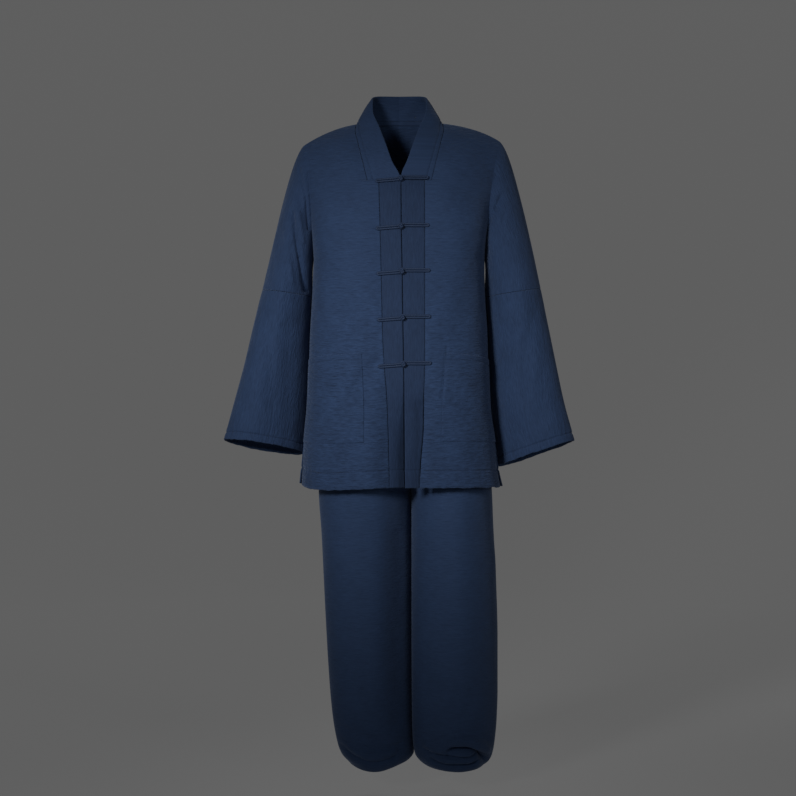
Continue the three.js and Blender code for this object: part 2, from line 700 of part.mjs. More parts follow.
// Patch pockets: the front's own points, moved out by the seam gap and the pocket's cloth
for (const side of SIDES) {
  const rows = BODY_LEVELS.filter(down => down >= POCKET_TOP && down <= POCKET_FOOT).map(rowAt);
  const pocket = new Sheet().grid(FRONT_COLUMNS.slice(1, -1), rows,
    (t, v) => frontPoint(side, columnAt(side, t, v), v), side === 'right');
  addPiece(`pocket_${side}`, wall(pocket, jacketNormal, POCKET_WALL, SEAM_GAP + POCKET_WALL));
}

// Depth of the jacket's face near the middle front, for what is sewn onto it
const BAND_SLOPE = 0.29;
function faceDepth(side, x, z) {
  if (z > -BAND_FOOT) return footDepth(side, x) + (z + BAND_FOOT) * BAND_SLOPE;
  const seam = bandSeam(side, -z);
  const { middle } = frontLines(-z);
  const c = Math.min(Math.max((x - seam.x) / (middle - seam.x), 0), 1);
  return placketPoint(side, c, -z).y;
}

// A strap is two cords side by side, flat underneath: height above the cloth, and z.
const STRAP_SECTION = rowsOf('high z', [
  [0, -2], [1, -2], [2, -1], [1.25, 0], [2, 1], [1, 2], [0, 2],
]);
// Each strap runs from near the knot to just past the band's seam; on the left it lies a
// little higher, and on the right its outer end hangs.
const straps = { right: { from: 4, to: 50.5, raise: -0.5, hang: 3.5 }, left: { from: 6, to: 55, raise: 3, hang: 0 } };
FROG_LEVELS.forEach((level, k) => {
  const { middle } = frontLines(level);
  for (const side of SIDES) {
    const { from, to, raise, hang } = straps[side];
    const rings = evenly(FROG_STEPS).map(share => {
      const x = middle + signOf(side) * mix(from, to, share);
      const z = -level + raise - hang * share;
      const swell = share === 0 || share === 1 ? 0.7 : 1;
      const reach = 2 * CORD_RADIUS;
      const face = Math.min(...[-reach, 0, reach].map(step => faceDepth(side, x, z + step)));
      return STRAP_SECTION.map(corner => point(
        x,
        face - SEAM_GAP - corner.high * CORD_RADIUS * swell,
        z + corner.z * CORD_RADIUS * swell,
      ));
    });
    addPiece(`frog_${k + 1}_strap_${side}`, loft(side === 'right' ? rings : rings.reverse()), cord);
  }
  const knot = new THREE.SphereGeometry(KNOT_RADIUS, 10, 7);
  knot.scale(0.8, 1, 1);
  const ball = new THREE.Mesh(knot, cord);
  ball.name = `frog_${k + 1}_knot`;
  ball.position.set(middle, faceDepth('left', middle, -level) - KNOT_RADIUS - KNOT_GAP, -level);
  uniform.add(ball);
});

// A band round the body or an ankle, open at both ends: a ring section swept by its outline
function bandRing(outline, top, foot, thickness, count) {
  const rings = Array.from({ length: count }, (_, k) => {
    const angle = 2 * Math.PI * k / count;
    const at = outline(angle, 0);
    const inside = outline(angle, thickness);
    return [
      point(at.x, at.y, -top), point(at.x, at.y, -foot),
      point(inside.x, inside.y, -foot), point(inside.x, inside.y, -top),
    ];
  });
  const faces = [];
  for (let k = 0; k < count; k += 1) {
    for (let corner = 0; corner < 4; corner += 1) {
      const a = k * 4 + corner;
      const b = k * 4 + (corner + 1) % 4;
      const nextA = ((k + 1) % count) * 4 + corner;
      const nextB = ((k + 1) % count) * 4 + (corner + 1) % 4;
      faces.push([a, b, nextB], [a, nextB, nextA]);
    }
  }
  return geometryOf(rings.flat(), faces);
}

// The waistband stands on the trousers' top edge. The elastic gathers it in small waves.
const WAIST_WAVES = 18;
const waist = { right: legs.right(WAIST_FOOT), left: legs.left(WAIST_FOOT) };
const waistMiddle = (waist.right.outer + waist.left.outer) / 2;
const waistHalf = (waist.left.outer - waist.right.outer) / 2;
const WAIST_EASE = 0.5;
addPiece('waistband', bandRing((angle, inset) => {
  const wave = 0.8 * Math.cos(WAIST_WAVES * angle) - WAIST_EASE - inset;
  return {
    x: waistMiddle + (waistHalf + wave) * Math.cos(angle),
    y: LEG_MIDDLE + (waist.right.front + wave) * Math.sin(angle),
  };
}, WAIST_TOP, WAIST_FOOT - SEAM_GAP, TROUSER_WALL, 72));

// Elastic cuffs inside the blousing, joined to it at their top edge
for (const side of SIDES) {
  const radius = ANKLE_RADIUS - SEAM_GAP;
  addPiece(`ankle_cuff_${side}`, bandRing((angle, inset) => ({
    x: ANKLE_X[side] + (radius - inset) * Math.cos(angle),
    y: ANKLE_DEPTH + (radius - inset) * Math.sin(angle),
  }), CUFF_TOP, CUFF_FOOT, TROUSER_WALL, 2 * LEG_COLUMNS.length - 2));
}

export default uniform;
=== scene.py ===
# %% [markdown]
# # A tai chi uniform in cloth
#
# The uniform is a jacket with a banded V neck, five cord fastenings and two hip pockets, over
# loose trousers gathered at the ankles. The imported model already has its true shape, but only
# in coarse facets. This lesson lays a finely drawn cloth over each facetted piece.
#
# Cloth could be draped by a simulation, but this uniform has to keep the pose of its solids,
# so every piece is a surface worked out from named sizes: a function of two parameters on a
# grid, in millimetres. The tables that shape the solids are repeated here, with a few hollows
# drawn deeper, because this script reads nothing but the frame.

# %% Load the frame
import math
from itertools import product
from types import SimpleNamespace

import bpy
import numpy as np
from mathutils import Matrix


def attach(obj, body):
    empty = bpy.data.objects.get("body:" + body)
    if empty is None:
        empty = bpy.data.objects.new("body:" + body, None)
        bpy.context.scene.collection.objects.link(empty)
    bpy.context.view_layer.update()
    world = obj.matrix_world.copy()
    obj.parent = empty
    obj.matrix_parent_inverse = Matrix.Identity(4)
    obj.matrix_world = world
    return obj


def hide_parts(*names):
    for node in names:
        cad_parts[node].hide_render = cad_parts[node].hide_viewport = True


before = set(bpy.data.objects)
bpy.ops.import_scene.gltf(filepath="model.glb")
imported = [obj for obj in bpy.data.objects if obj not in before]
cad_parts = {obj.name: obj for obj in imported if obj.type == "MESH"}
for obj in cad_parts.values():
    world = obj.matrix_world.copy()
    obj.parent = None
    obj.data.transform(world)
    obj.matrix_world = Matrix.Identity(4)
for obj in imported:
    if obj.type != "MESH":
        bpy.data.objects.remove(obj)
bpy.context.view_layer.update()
MM = 0.001

# %% [markdown]
# ## Camera
#
# A catalogue picture of a standing garment is taken from a few metres away, level with its
# middle, so that the hem and the shoulders are both seen straight on. The width of the view
# where the garment stands gives the lens angle.

# %% Set the camera
CAMERA_PLACE = (-0.0084, -4.5, -0.5733)
VIEW_WIDTH = 1.6716

camera = bpy.data.objects.new("camera", bpy.data.cameras.new("camera"))
bpy.context.scene.collection.objects.link(camera)
camera.location = CAMERA_PLACE
camera.rotation_euler = (math.pi / 2, 0, 0)
camera.data.angle = 2 * math.atan(VIEW_WIDTH / 2 / -CAMERA_PLACE[1])
bpy.context.scene.camera = camera
print("lens angle", round(math.degrees(camera.data.angle), 2))

# %% [markdown]
# ## Tables, and the curves through them
#
# A pattern cutter writes a garment down as a few measures at a few levels. Here a table holds
# them, and a cubic through its rows gives every level between. The cubic never overshoots:
# its slope at a row is the harmonic mean of the slopes on both sides, or zero where they
# point in opposite directions. A plain spline would bulge beside each sharp corner.

# %% Read tables of measures
def through(keys, values, at):
    """Values at `at` on the cubic through the rows that never overshoots them."""
    rise = np.diff(values, axis=0) / np.diff(keys)[:, None]
    before, after = rise[:-1], rise[1:]
    both = np.where(before * after > 0, before + after, 1)
    inner = np.where(before * after > 0, 2 * before * after / both, 0)
    slope = np.concatenate([rise[:1], inner, rise[-1:]])
    place = np.clip(at, keys[0], keys[-1])
    k = np.clip(np.searchsorted(keys, place) - 1, 0, len(keys) - 2)
    span = (keys[k + 1] - keys[k])[..., None]
    t = (place - keys[k])[..., None] / span
    s = 1 - t
    return (values[k] * s * s * (1 + 2 * t) + values[k + 1] * t * t * (3 - 2 * t)
            + span * s * t * (slope[k] * s - slope[k + 1] * t))


def table(names, rows):
    """Rows of named columns, read at any value of the first column."""
    names = names.split()[1:]
    rows = np.array(rows, float)

    def read(at):
        found = through(rows[:, 0], rows[:, 1:], np.asarray(at, float))
        return SimpleNamespace(**{name: found[..., c] for c, name in enumerate(names)})

    return read


def xyz(x, y, z):
    return np.stack(np.broadcast_arrays(x, y, z), axis=-1).astype(float)


def mix(a, b, t):
    return a + (b - a) * t


def blend(a, b, t):
    """The same for points: t has one number for each point."""
    return a + (b - a) * np.asarray(t)[..., None]


def fade(start, end, at):
    """0 before start, 1 after end, and a smooth step between them."""
    t = np.clip((at - start) / (end - start), 0, 1)
    return t * t * (3 - 2 * t)


def bezier(start, start_handle, end_handle, end, t):
    t = np.asarray(t)[..., None]
    s = 1 - t
    return (start * s ** 3 + start_handle * 3 * s * s * t
            + end_handle * 3 * s * t * t + end * t ** 3)


# %% Write down the jacket's levels and tables
BAND_FOOT = 126
ARMPIT = 285
POCKET_TOP = 480
VENT_TOP = 648
POCKET_FOOT = 662
JACKET_HEM = 757
NECK_SHIFT = -5.5
CENTRE_GAP = 1
FOOT_EASE = 20
TURNED_BACK = 36
TURNED_IN = 13
TURN_TOP = 525
TURN_FOOT = 720
INNER_EDGE = -27
TURNED_WIDTH = 46
SIDE_EASE = 45
SHOULDER_RISE = 8
RISE_ACROSS = (40, 200)
RISE_UP = (-160, -40)
SHOULDER = 0.55
FOOT_ROW = SHOULDER + 0.03
LEVEL_ROW = 0.86
NECK_SHARE = 0.3
RIGHT, LEFT = -1, 1
SIDE_NAMES = {RIGHT: "right", LEFT: "left"}

chest = table("down depth crown", [
    [126, 105.5, 6], [160, 117, 4], [205, 123, 3], [250, 126.5, 3],
    [285, 128, 3], [500, 132, 3], [650, 134, 3], [757, 138, 3],
])
body = table("down half shift back lift", [
    [285, 179, -6, 116, 0], [325, 180, -7, 117.5, -3], [430, 186, -7, 120, -12],
    [480, 188, -7, 121, -16], [585, 192, -7, 123, -9], [662, 200.5, -5.5, 125, -3],
    [727, 205, -4, 127, 2], [757, 208.5, -2, 129, 4],
])
front_lines = table("down middle right left", [
    [126, -2.2, -48, 46.5], [222, -1.5, -45, 46.5], [300, 0, -43, 46.5],
    [434, 2, -40, 46.5], [500, 3, -37, 46.5], [567, 4, -31.5, 44.5],
    [633, 4.6, -28.5, 43.5], [711, 5.2, -26.5, 38], [757, 5.6, -26, 36],
])
collar_band = table("s seam_x seam_y seam_z edge_x edge_y edge_z", [
    [0, 66, -103, -126, 0, -111.5, -126],
    [0.13, 77.4, -84, -79.4, 15.5, -97, -84.8],
    [0.25, 85.8, -58, -45, 26.4, -80, -52.4],
    [0.40, 92.4, -28, -15.5, 40.4, -52, -12.6],
    [0.55, 90, 4, 2, 55.7, -20, 28.3],
    [0.68, 78, 30, 4, 57, 8, 58],
    [0.83, 45, 52, 6, 40, 38, 66],
    [1, 0, 62, 8, 0, 51, 67],
])
armholes = {
    "front": table("v x y z turn out_x out_y out_z back", [
        [0, 206, 5, -42, 0, 29, 0, -27, 112],
        [0.15, 203, -14, -62, 0.10, 29, -5, -24, 112],
        [0.30, 196, -32, -88, 0.22, 26, -10, -30, 104],
        [0.42, 192, -40, -115, 0.32, 24, -16, -40, 94],
        [0.55, 188, -46, -150, 0.45, 22, -20, -50, 73],
        [0.78, 183, -42, -215, 0.70, 12, -24, -40, 50],
        [0.90, 180.5, -28, -252, 0.84, 6, -14, -30, 36],
        [1, 179, 0, -285, 1, 4, 0, -25, 25],
    ]),
    "back": table("v x y z turn out_x out_y out_z back", [
        [0, 206, 5, -42, 0, 29, 0, -27, 112],
        [0.15, 204, 24, -60, 0.10, 29, 6, -24, 112],
        [0.30, 199, 42, -86, 0.22, 26, 12, -30, 104],
        [0.42, 195, 52, -113, 0.32, 24, 16, -40, 94],
        [0.55, 191, 58, -150, 0.45, 22, 18, -50, 73],
        [0.78, 185, 52, -213, 0.70, 12, 22, -40, 50],
        [0.90, 181.5, 34, -251, 0.84, 6, 14, -30, 36],
        [1, 179, 0, -285, 1, 4, 0, -25, 25],
    ]),
}
front_rows = table("v out_x out_y out_z in_x in_y in_z", [
    [0, 40, 0, -6, 30, 0, -20], [0.15, 38, -1, -10, 34, 8, -22],
    [0.30, 42, -3, -12, 34, 18, -20], [0.42, 48, -5, -12, 32, 30, -14],
    [0.55, 55, -4, -4, 30, 40, -8], [0.58, 62, -4, -9, 28, 43, -9],
    [0.78, 72, -3, -3, 12, 60, -2], [0.90, 82, -2, -1, 5, 72, 0],
    [1, 90, -2, 0, 0, 84, 0],
])
back_rows = table("v y z out_x out_y out_z in_x in_y in_z", [
    [0, 62, 8, 60, 0, -4, 36, -14, -20], [0.15, 72, -18, 70, 2, -6, 40, -22, -20],
    [0.30, 84, -50, 75, 2, -6, 40, -30, -16], [0.42, 92, -78, 80, 0, -4, 34, -36, -12],
    [0.55, 100, -118, 85, 0, -4, 26, -42, -8], [0.78, 110, -200, 95, 0, 0, 12, -52, 0],
    [0.90, 113, -243, 105, 0, 0, 5, -66, 0], [1, 116, -285, 118, 0, 0, 0, -77, 0],
])
sleeves = {
    RIGHT: table("q outer_x outer_z inner_x inner_z middle_y depth lift tuck", [
        [0, -293, -347, -188, -361, -2, 70, 0, 26],
        [0.25, -312, -425, -191, -442, -8, 67, 1, 42],
        [0.5, -330.5, -505, -194, -527, -14, 61, 3, 54],
        [0.75, -351.5, -585, -199.5, -612, -20, 54, 6, 60],
        [1, -372, -661, -206, -691, -24, 46, 10, 62],
    ]),
    LEFT: table("q outer_x outer_z inner_x inner_z middle_y depth lift tuck", [
        [0, 291, -345, 174, -362, -2, 70, 0, 26],
        [0.25, 307, -425, 177.3, -447, -7, 67, 1, 41],
        [0.5, 323, -505, 180.5, -539, -12, 61, 2, 52],
        [0.75, 339.5, -584, 188.5, -631, -17, 54, 4, 57],
        [1, 361, -662, 202, -719, -20, 47, 6, 58],
    ]),
}

# %% Write down the trousers' levels and tables
WAIST_TOP = 420
WAIST_FOOT = 458
CROTCH = 752
LOWEST_ROW = 1357
LAST_ROW = 1388
CUFF_TOP = 1320
CUFF_FOOT = 1345
ANKLE_RADIUS = 38.5
ANKLE_DEPTH = 5
ANKLE_X = {RIGHT: -60, LEFT: 110}
LEG_MIDDLE = 5

legs = {
    RIGHT: table("p down outer inner front back wrap rise tuck", [
        [458, 458, -154, -4, 106, 106, 90, 0, 0], [500, 500, -160, -3, 111, 110, 90, 0, 0],
        [560, 560, -167, 0, 111, 113.9, 90, 0, 0], [640, 640, -172, 5, 108, 112, 92, 0, 0],
        [690, 690, -174, 10, 107, 108, 110, 0, 0], [725, 725, -175, 14, 106, 105, 138, 0, 0],
        [752, 752, -175, 18, 105, 103, 180, 0, 0], [765, 765, -175, 19.5, 105, 102, 180, 0, 18],
        [790, 790, -174, 22, 104, 101, 180, 0, 32], [842, 842, -170, 24, 101, 98, 180, 0, 44],
        [960, 960, -164, 25, 95, 91, 180, 0, 50], [1078, 1078, -158, 25, 86, 85, 180, 0, 50],
        [1187, 1187, -151, 25, 79, 80, 180, 0, 48], [1245, 1245, -145, 25, 75, 78, 180, 0, 45],
        [1299, 1299, -135, 26, 72, 76, 180, 0, 31], [1320, 1320, -127, 25.5, 69, 73, 180, 1, 26],
        [1340, 1340, -113, 13, 58, 62, 180, 5, 12], [1357, 1352, -104, -12, 44, 46, 180, 9, 0],
        [1372, 1338, -99, -21, 39, 39, 180, 3, 0],
        [1388, 1322, -98.5, -21.5, 38.5, 38.5, 180, 0, 0],
    ]),
    LEFT: table("p down outer inner front back wrap rise tuck", [
        [458, 458, 146, -4, 106, 106, 90, 0, 0], [500, 500, 154, -3, 111, 110, 90, 0, 0],
        [560, 560, 165, 0, 111, 113.9, 90, 0, 0], [640, 640, 175, 5, 108, 112, 92, 0, 0],
        [690, 690, 181, 10, 107, 108, 110, 0, 0], [725, 725, 186, 14, 106, 105, 138, 0, 0],
        [752, 752, 188, 18, 105, 103, 180, 0, 0], [790, 790, 190, 20, 104, 101, 180, 0, 0],
        [842, 842, 192, 20, 102, 98, 180, 0, 0], [960, 960, 198, 20, 96, 92, 180, 0, 0],
        [1078, 1078, 201, 20, 89, 87, 180, 0, 0], [1187, 1187, 201, 20.5, 82, 83, 180, 0, 0],
        [1245, 1245, 199, 21, 79, 81, 180, 0, 0], [1290, 1290, 195, 22.5, 77, 79, 180, 0, 0],
        [1320, 1320, 190, 27, 72, 75, 180, 1, 0], [1340, 1340, 181, 41, 64, 66, 180, 3, 0],
        [1357, 1350, 165, 58, 52, 52, 180, 5, 0], [1372, 1338, 150, 70, 41, 41, 180, 2, 0],
        [1388, 1322, 148.5, 71.5, 38.5, 38.5, 180, 0, 0],
    ]),
}

# %% [markdown]
# ## Folds
#
# A soft fold in hung cloth is a long trough or ridge. Seen from the front it is a line with a
# width and a depth, and the cloth goes back by a bell curve of the distance from the line.
# That is quicker than a simulation, and each fold lies where it is wanted. These three lists
# are the large folds, which the solids have too.

# %% Press folds into the cloth
def rows_of(names, rows):
    return [SimpleNamespace(**dict(zip(names.split(), row))) for row in rows]


JACKET_FOLDS = rows_of("x1 z1 x2 z2 width depth", [
    [-51, -500, -102, -567, 15, 5],
    [-60, -520, -66, -740, 26, -4],
    [39, -590, 38, -756, 12, 5],
    [-140, -350, -108, -460, 26, 4],
    [138, -350, 118, -450, 26, 4],
])
SLEEVE_FOLDS = rows_of("x1 z1 x2 z2 width depth", [
    [193, -111, 181, -141, 9, 5],
    [205, -157, 180, -210, 10, 6],
    [-214, -150, -196, -205, 10, 6],
    [-236, -270, -210, -345, 14, 5],
    [275, -393, 244, -567, 16, 5],
    [300, -420, 290, -610, 18, 4],
    [-282, -400, -268, -590, 18, 5],
    [-240, -430, -236, -600, 16, 4],
])
LEG_FOLDS = rows_of("x1 z1 x2 z2 width depth", [
    [56, -1318, 150, -1320, 14, 4],
    [-40, -800, -52, -1180, 30, -5],
    [-6, -860, -8, -1250, 20, 7],
    [120, -830, 128, -1150, 34, -5],
    [-110, -1290, -10, -1300, 18, 5],
])


def dent(at, folds):
    """How far back the folds press each point: depth times a bell of distance over width."""
    depth = np.zeros(at.shape[:-1])
    for fold in folds:
        run_x, run_z = fold.x2 - fold.x1, fold.z2 - fold.z1
        from_x, from_z = at[..., 0] - fold.x1, at[..., 2] - fold.z1
        near = np.clip((from_x * run_x + from_z * run_z) / (run_x ** 2 + run_z ** 2), 0, 1)
        gap = np.hypot(from_x - run_x * near, from_z - run_z * near)
        depth += fold.depth * np.exp(-((gap / fold.width) ** 2))
    return depth


def press(at, folds, share=1):
    """Moves points back in +Y by a share of the folds' depth."""
    return at + xyz(0, dent(at, folds) * share, 0)


# %% [markdown]
# ## The jacket's surface
#
# The jacket is cut like an old Chinese jacket: each front and the back run on into the upper
# sleeve, with no seam at the shoulder. So a row of the front starts at the neck or at the
# front band, crosses the chest to the fold above the armpit, and there hands over to a row of
# the sleeve. Each row is one Bezier curve, and the tables give its ends and its handles.

# %% Work out the jacket's panels
def down_of(v):
    """Rows run from 0 at the shoulder by 1 at the armpit to 2 at the hem."""
    upper = mix(BAND_FOOT, ARMPIT, (v - FOOT_ROW) / (1 - FOOT_ROW))
    return np.where(v <= 1, upper, mix(ARMPIT, JACKET_HEM, v - 1))


def row_at(down):
    """The row at a level below the armpit."""
    return 1 + (down - ARMPIT) / (JACKET_HEM - ARMPIT)


def neck_seam(side, s):
    """Seam of the collar: s from the foot of the V to the middle back."""
    band = collar_band(s)
    return xyz(NECK_SHIFT + side * band.seam_x, band.seam_y, band.seam_z)


def foot_depth(side, x):
    """Depth on the straight level line where the collar ends and the front bands begin."""
    corner = neck_seam(side, 0)
    middle = front_lines(BAND_FOOT).middle
    level = chest(BAND_FOOT)
    share = (x - corner[..., 0]) / (middle - corner[..., 0])
    return mix(corner[..., 1], -level.depth - level.crown, share)


def settled_at(down):
    """How far the band has eased from the collar's level foot to the chest's own depth."""
    return fade(BAND_FOOT, BAND_FOOT + FOOT_EASE, down)


def band_seam(side, down):
    """Seam between a front and its band: the chest's depth, eased to the collar's foot."""
    x = getattr(front_lines(down), SIDE_NAMES[side])
    top_x = getattr(front_lines(BAND_FOOT), SIDE_NAMES[side])
    foot = foot_depth(side, top_x) + chest(BAND_FOOT).depth
    return xyz(x, foot * (1 - settled_at(down)) - chest(down).depth, -down)


def front_start(side, v):
    """Inner end of a front's row: neck seam, then the collar's foot, then the band's seam."""
    neck = neck_seam(side, np.clip(SHOULDER - v, 0, 1))
    band = band_seam(side, down_of(np.maximum(v, FOOT_ROW)))
    return blend(neck, band, np.clip((v - SHOULDER) / (FOOT_ROW - SHOULDER), 0, 1))


def side_seam(side, down, face):
    """Side seam; below the vent's top the front edge goes forward and the back edge out, and
    on the left both hang lower."""
    level = body(down)
    open_ = np.clip((down - VENT_TOP) / (JACKET_HEM - VENT_TOP), 0, None)
    x = level.shift + side * (level.half + (5 if face == "back" else -1) * open_)
    y = 2 * fade(ARMPIT, ARMPIT + SIDE_EASE, down) + (9 if face == "back" else -7) * open_
    hang = 6 * open_ if side == LEFT else 0
    return xyz(x, y, level.lift - down - hang)


def armhole(side, face, v):
    """Fold above the armpit: its row of measures, and its place, moved over with the body."""
    row = armholes[face](v)
    shift = body(ARMPIT).shift * fade(0, 1, v)
    return row, xyz(shift + side * row.x, row.y, row.z)


def row_end(side, face, v):
    """Outer end of a row: the armhole fold, then the side seam."""
    hole = armhole(side, face, np.minimum(v, 1))[1]
    seam = side_seam(side, down_of(np.maximum(v, 1)), face)
    return np.where((v > 1)[..., None], seam, hole)


def row_curve(side, v, t, start, end, row, reach, inner_y):
    """A row's Bezier: handles from its table above the armpit, and level ones below it."""
    upper = (start + xyz(side * row.out_x, row.out_y, row.out_z),
             end - xyz(side * row.in_x, row.in_y, row.in_z))
    low_z = mix(start[..., 2], end[..., 2], 0.3)
    lower = (xyz(mix(start[..., 0], end[..., 0], reach), start[..., 1] + inner_y, low_z),
             xyz(end[..., 0], mix(end[..., 1], start[..., 1], reach - 0.02), low_z))
    share = fade(LEVEL_ROW, 1, v)
    return bezier(start, blend(upper[0], lower[0], share), blend(upper[1], lower[1], share),
                  end, t)


def turned_in(at):
    """How far the right front turns in towards its band, low down: a square of how near."""
    near = np.clip(1 + (at[..., 0] - INNER_EDGE) / TURNED_WIDTH, 0, 1)
    return TURNED_IN * near ** 2 * fade(TURN_TOP - 5, TURN_FOOT - 20, -at[..., 2])


def front_point(side, t, v):
    """Front panel: t from its inner edge to the side, v down its rows."""
    t, v = np.broadcast_arrays(np.asarray(t, float), np.asarray(v, float))
    row = front_rows(np.minimum(v, 1))
    at = row_curve(side, v, t, front_start(side, v), row_end(side, "front", v), row, 0.68, -2)
    if side == RIGHT:
        at = at + xyz(0, turned_in(at), 0)
    return press(at, JACKET_FOLDS, 1 - t ** 6)


def back_point(side, u, v):
    """Back panel: u from the middle back to the side. Its first row is the neck seam and the
    shoulder seam, and what that changes has died away by row 0.5."""
    u, v = np.broadcast_arrays(np.asarray(u, float), np.asarray(v, float))

    def across(at):
        row = back_rows(np.minimum(at, 1))
        level = body(down_of(np.maximum(at, 1)))
        x = np.where(at > 1, level.shift, mix(NECK_SHIFT, level.shift, np.minimum(at, 1)))
        y = np.where(at > 1, level.back, row.y)
        start = xyz(x, y, np.where(at > 1, -down_of(at), row.z))
        return row_curve(side, at, u, start, row_end(side, "back", at), row, 0.66, 0)

    neck = neck_seam(side, mix(1, SHOULDER, np.clip(u / NECK_SHARE, 0, 1)))
    shoulder = front_point(side, np.clip((u - NECK_SHARE) / (1 - NECK_SHARE), 0, 1), 0 * v)
    first = np.where((u < NECK_SHARE)[..., None], neck, shoulder)
    left = np.maximum(0, 1 - v / 0.5) ** 2
    return across(v) + (first - across(0 * v)) * left[..., None]


# %% Work out the sleeves
def sleeve_point(side, angle, q):
    """Sleeve below its seam: half an ellipse in front and half behind, between the overarm
    and the underarm lines, with its inner side tucked back behind the jacket's side. The
    angle goes from the overarm by the front."""
    ring = sleeves[side](q)
    across = (1 + np.cos(angle)) / 2
    at = xyz(mix(ring.inner_x, ring.outer_x, across),
             ring.middle_y - ring.depth * np.sin(angle) + ring.tuck * (1 - across) ** 2.2,
             mix(ring.inner_z, ring.outer_z, across) + ring.lift * np.sin(angle))
    return press(at, SLEEVE_FOLDS, np.maximum(0, np.sin(angle)) * fade(0, 0.1, q))


def upper_sleeve_point(side, face, v, w):
    """Upper sleeve: each row leaves the armhole fold and runs into the sleeve's ring."""
    v, w = np.broadcast_arrays(np.asarray(v, float), np.asarray(w, float))
    row, at = armhole(side, face, v)
    angle = math.pi * row.turn * (1 if face == "front" else -1)
    end = sleeve_point(side, angle, 0 * v)
    ahead = sleeve_point(side, angle, 0 * v + 0.02) - end
    ahead /= np.linalg.norm(ahead, axis=-1, keepdims=True)
    start_handle = at + xyz(side * row.out_x, row.out_y, row.out_z)
    place = bezier(at, start_handle, end - ahead * row.back[..., None], end, w)
    if face == "back":
        return place
    share = np.sin(math.pi * w) * np.minimum(1, 3 * np.sin(math.pi * v))
    return press(place, SLEEVE_FOLDS, share)


def raised(at):
    """The left shoulder stands a little higher than the right one, most at its tip."""
    rise = SHOULDER_RISE * fade(*RISE_ACROSS, at[..., 0]) * fade(*RISE_UP, at[..., 2])
    return at + xyz(0, 0, rise)


# %% Work out the front bands, the collar and the trouser legs
def placket_point(side, c, down):
    """Front band: c from its seam to the middle front. Low down the right one slopes back
    towards the middle, ever steeper."""
    seam = band_seam(side, down)
    middle = front_lines(down).middle
    turned = fade(TURN_TOP, TURN_FOOT, down)
    level = chest(down)
    crown = mix(c, 1 - (1 - c) ** 2, settled_at(down))
    at = xyz(mix(seam[..., 0], middle + side * CENTRE_GAP / 2, c),
             mix(seam[..., 1], -level.depth - level.crown, crown), -down)
    if side == LEFT:
        return press(at, JACKET_FOLDS)
    return at + xyz(0, turned_in(at) + (TURNED_BACK - TURNED_IN) * turned * c ** 1.4, 0)


def collar_point(side, c, s):
    """Collar band: c from its seam to its free edge, s from the foot of the V to the back. It
    bulges by half a sine wave across, most beside the neck."""
    band = collar_band(s)
    middle = front_lines(BAND_FOOT).middle + side * CENTRE_GAP / 2
    edge_x = mix(middle, NECK_SHIFT + side * band.edge_x, fade(0, 0.13, s) ** 0.6)
    full = 2.5 + 5 * fade(0.42, 0.6, s) * (1 - fade(0.7, 0.95, s))
    round_ = full * np.sin(math.pi * c) * fade(0, 0.2, s)
    sideways = fade(0.2, 0.5, s) - fade(0.75, 1, s)
    return xyz(mix(NECK_SHIFT + side * band.seam_x, edge_x, c) + side * round_ * sideways,
               mix(band.seam_y, band.edge_y, c) - round_ * (1 - 2 * fade(0.45, 0.8, s)),
               mix(band.seam_z, band.edge_z, c))


def leg_point(side, face, u, p):
    """Trouser leg: half an ellipse from the side seam to the inner or the middle seam. The
    right leg's inner side is tucked back behind the left leg."""
    u, p = np.broadcast_arrays(np.asarray(u, float), np.asarray(p, float))
    row = legs[side](p)
    wrap = np.radians(row.wrap)
    angle = wrap * u
    inner = np.where(p < CROTCH, legs[RIGHT](p).inner, row.inner)
    x = mix(row.outer, inner, (1 - np.cos(angle)) / (1 - np.cos(wrap)))
    depth = -row.front if face == "front" else row.back
    tucked = row.tuck * ((1 - np.cos(angle)) / 2) ** 2
    at = xyz(x, LEG_MIDDLE + depth * np.sin(angle) + tucked,
             -row.down + row.rise * np.cos(angle) ** 2)
    if face == "back":
        return at
    share = np.minimum(1, 2 * np.sin(math.pi * u)) * (1 - fade(LOWEST_ROW - 4, LOWEST_ROW, p))
    return press(at, LEG_FOLDS, share)


# %% [markdown]
# ## From a surface to a piece of cloth
#
# A garment piece is a sheet with a thickness and soft, rounded edges. The Solidify modifier
# gives a thickness but leaves the edges square. Here the shell is built directly: the outer
# face, the same face moved in by the cloth's thickness, and a half-round rim that joins them
# along every free edge. Two rims side by side make the furrow of a seam.

# %% Gather grids into one sheet
def quads_of(rows, columns):
    """Faces of a grid whose points are numbered row by row."""
    index = np.arange(rows * columns).reshape(rows, columns)
    corners = [index[:-1, :-1], index[1:, :-1], index[1:, 1:], index[:-1, 1:]]
    return np.stack(corners, axis=-1).reshape(-1, 4)


class Sheet:
    """Grids of points with their place on the cloth, in millimetres along and across the
    weft. Points that fall on one place are joined."""

    def __init__(self):
        self.points, self.faces, self.places, self.count = [], [], [], 0
        self.seams = []

    def grid(self, points, places, flip=False):
        faces = quads_of(*points.shape[:2]) + self.count
        self.faces.append(faces[:, ::-1] if flip else faces)
        self.points.append(points.reshape(-1, 3))
        self.places.append(places.reshape(-1, 2))
        self.count += len(self.points[-1])
        return self

    def stitch(self, line, normals):
        """Remembers a line of stitches: its points and the cloth's normals there."""
        self.seams.append((line, normals))
        return self

    def joined(self):
        """Points, faces and each face corner's place on the cloth."""
        points = np.concatenate(self.points)
        faces = np.concatenate(self.faces)
        _, first, same = np.unique(np.round(points * 50).astype(int), axis=0,
                                   return_index=True, return_inverse=True)
        return points[first], same.reshape(-1)[faces], np.concatenate(self.places)[faces]


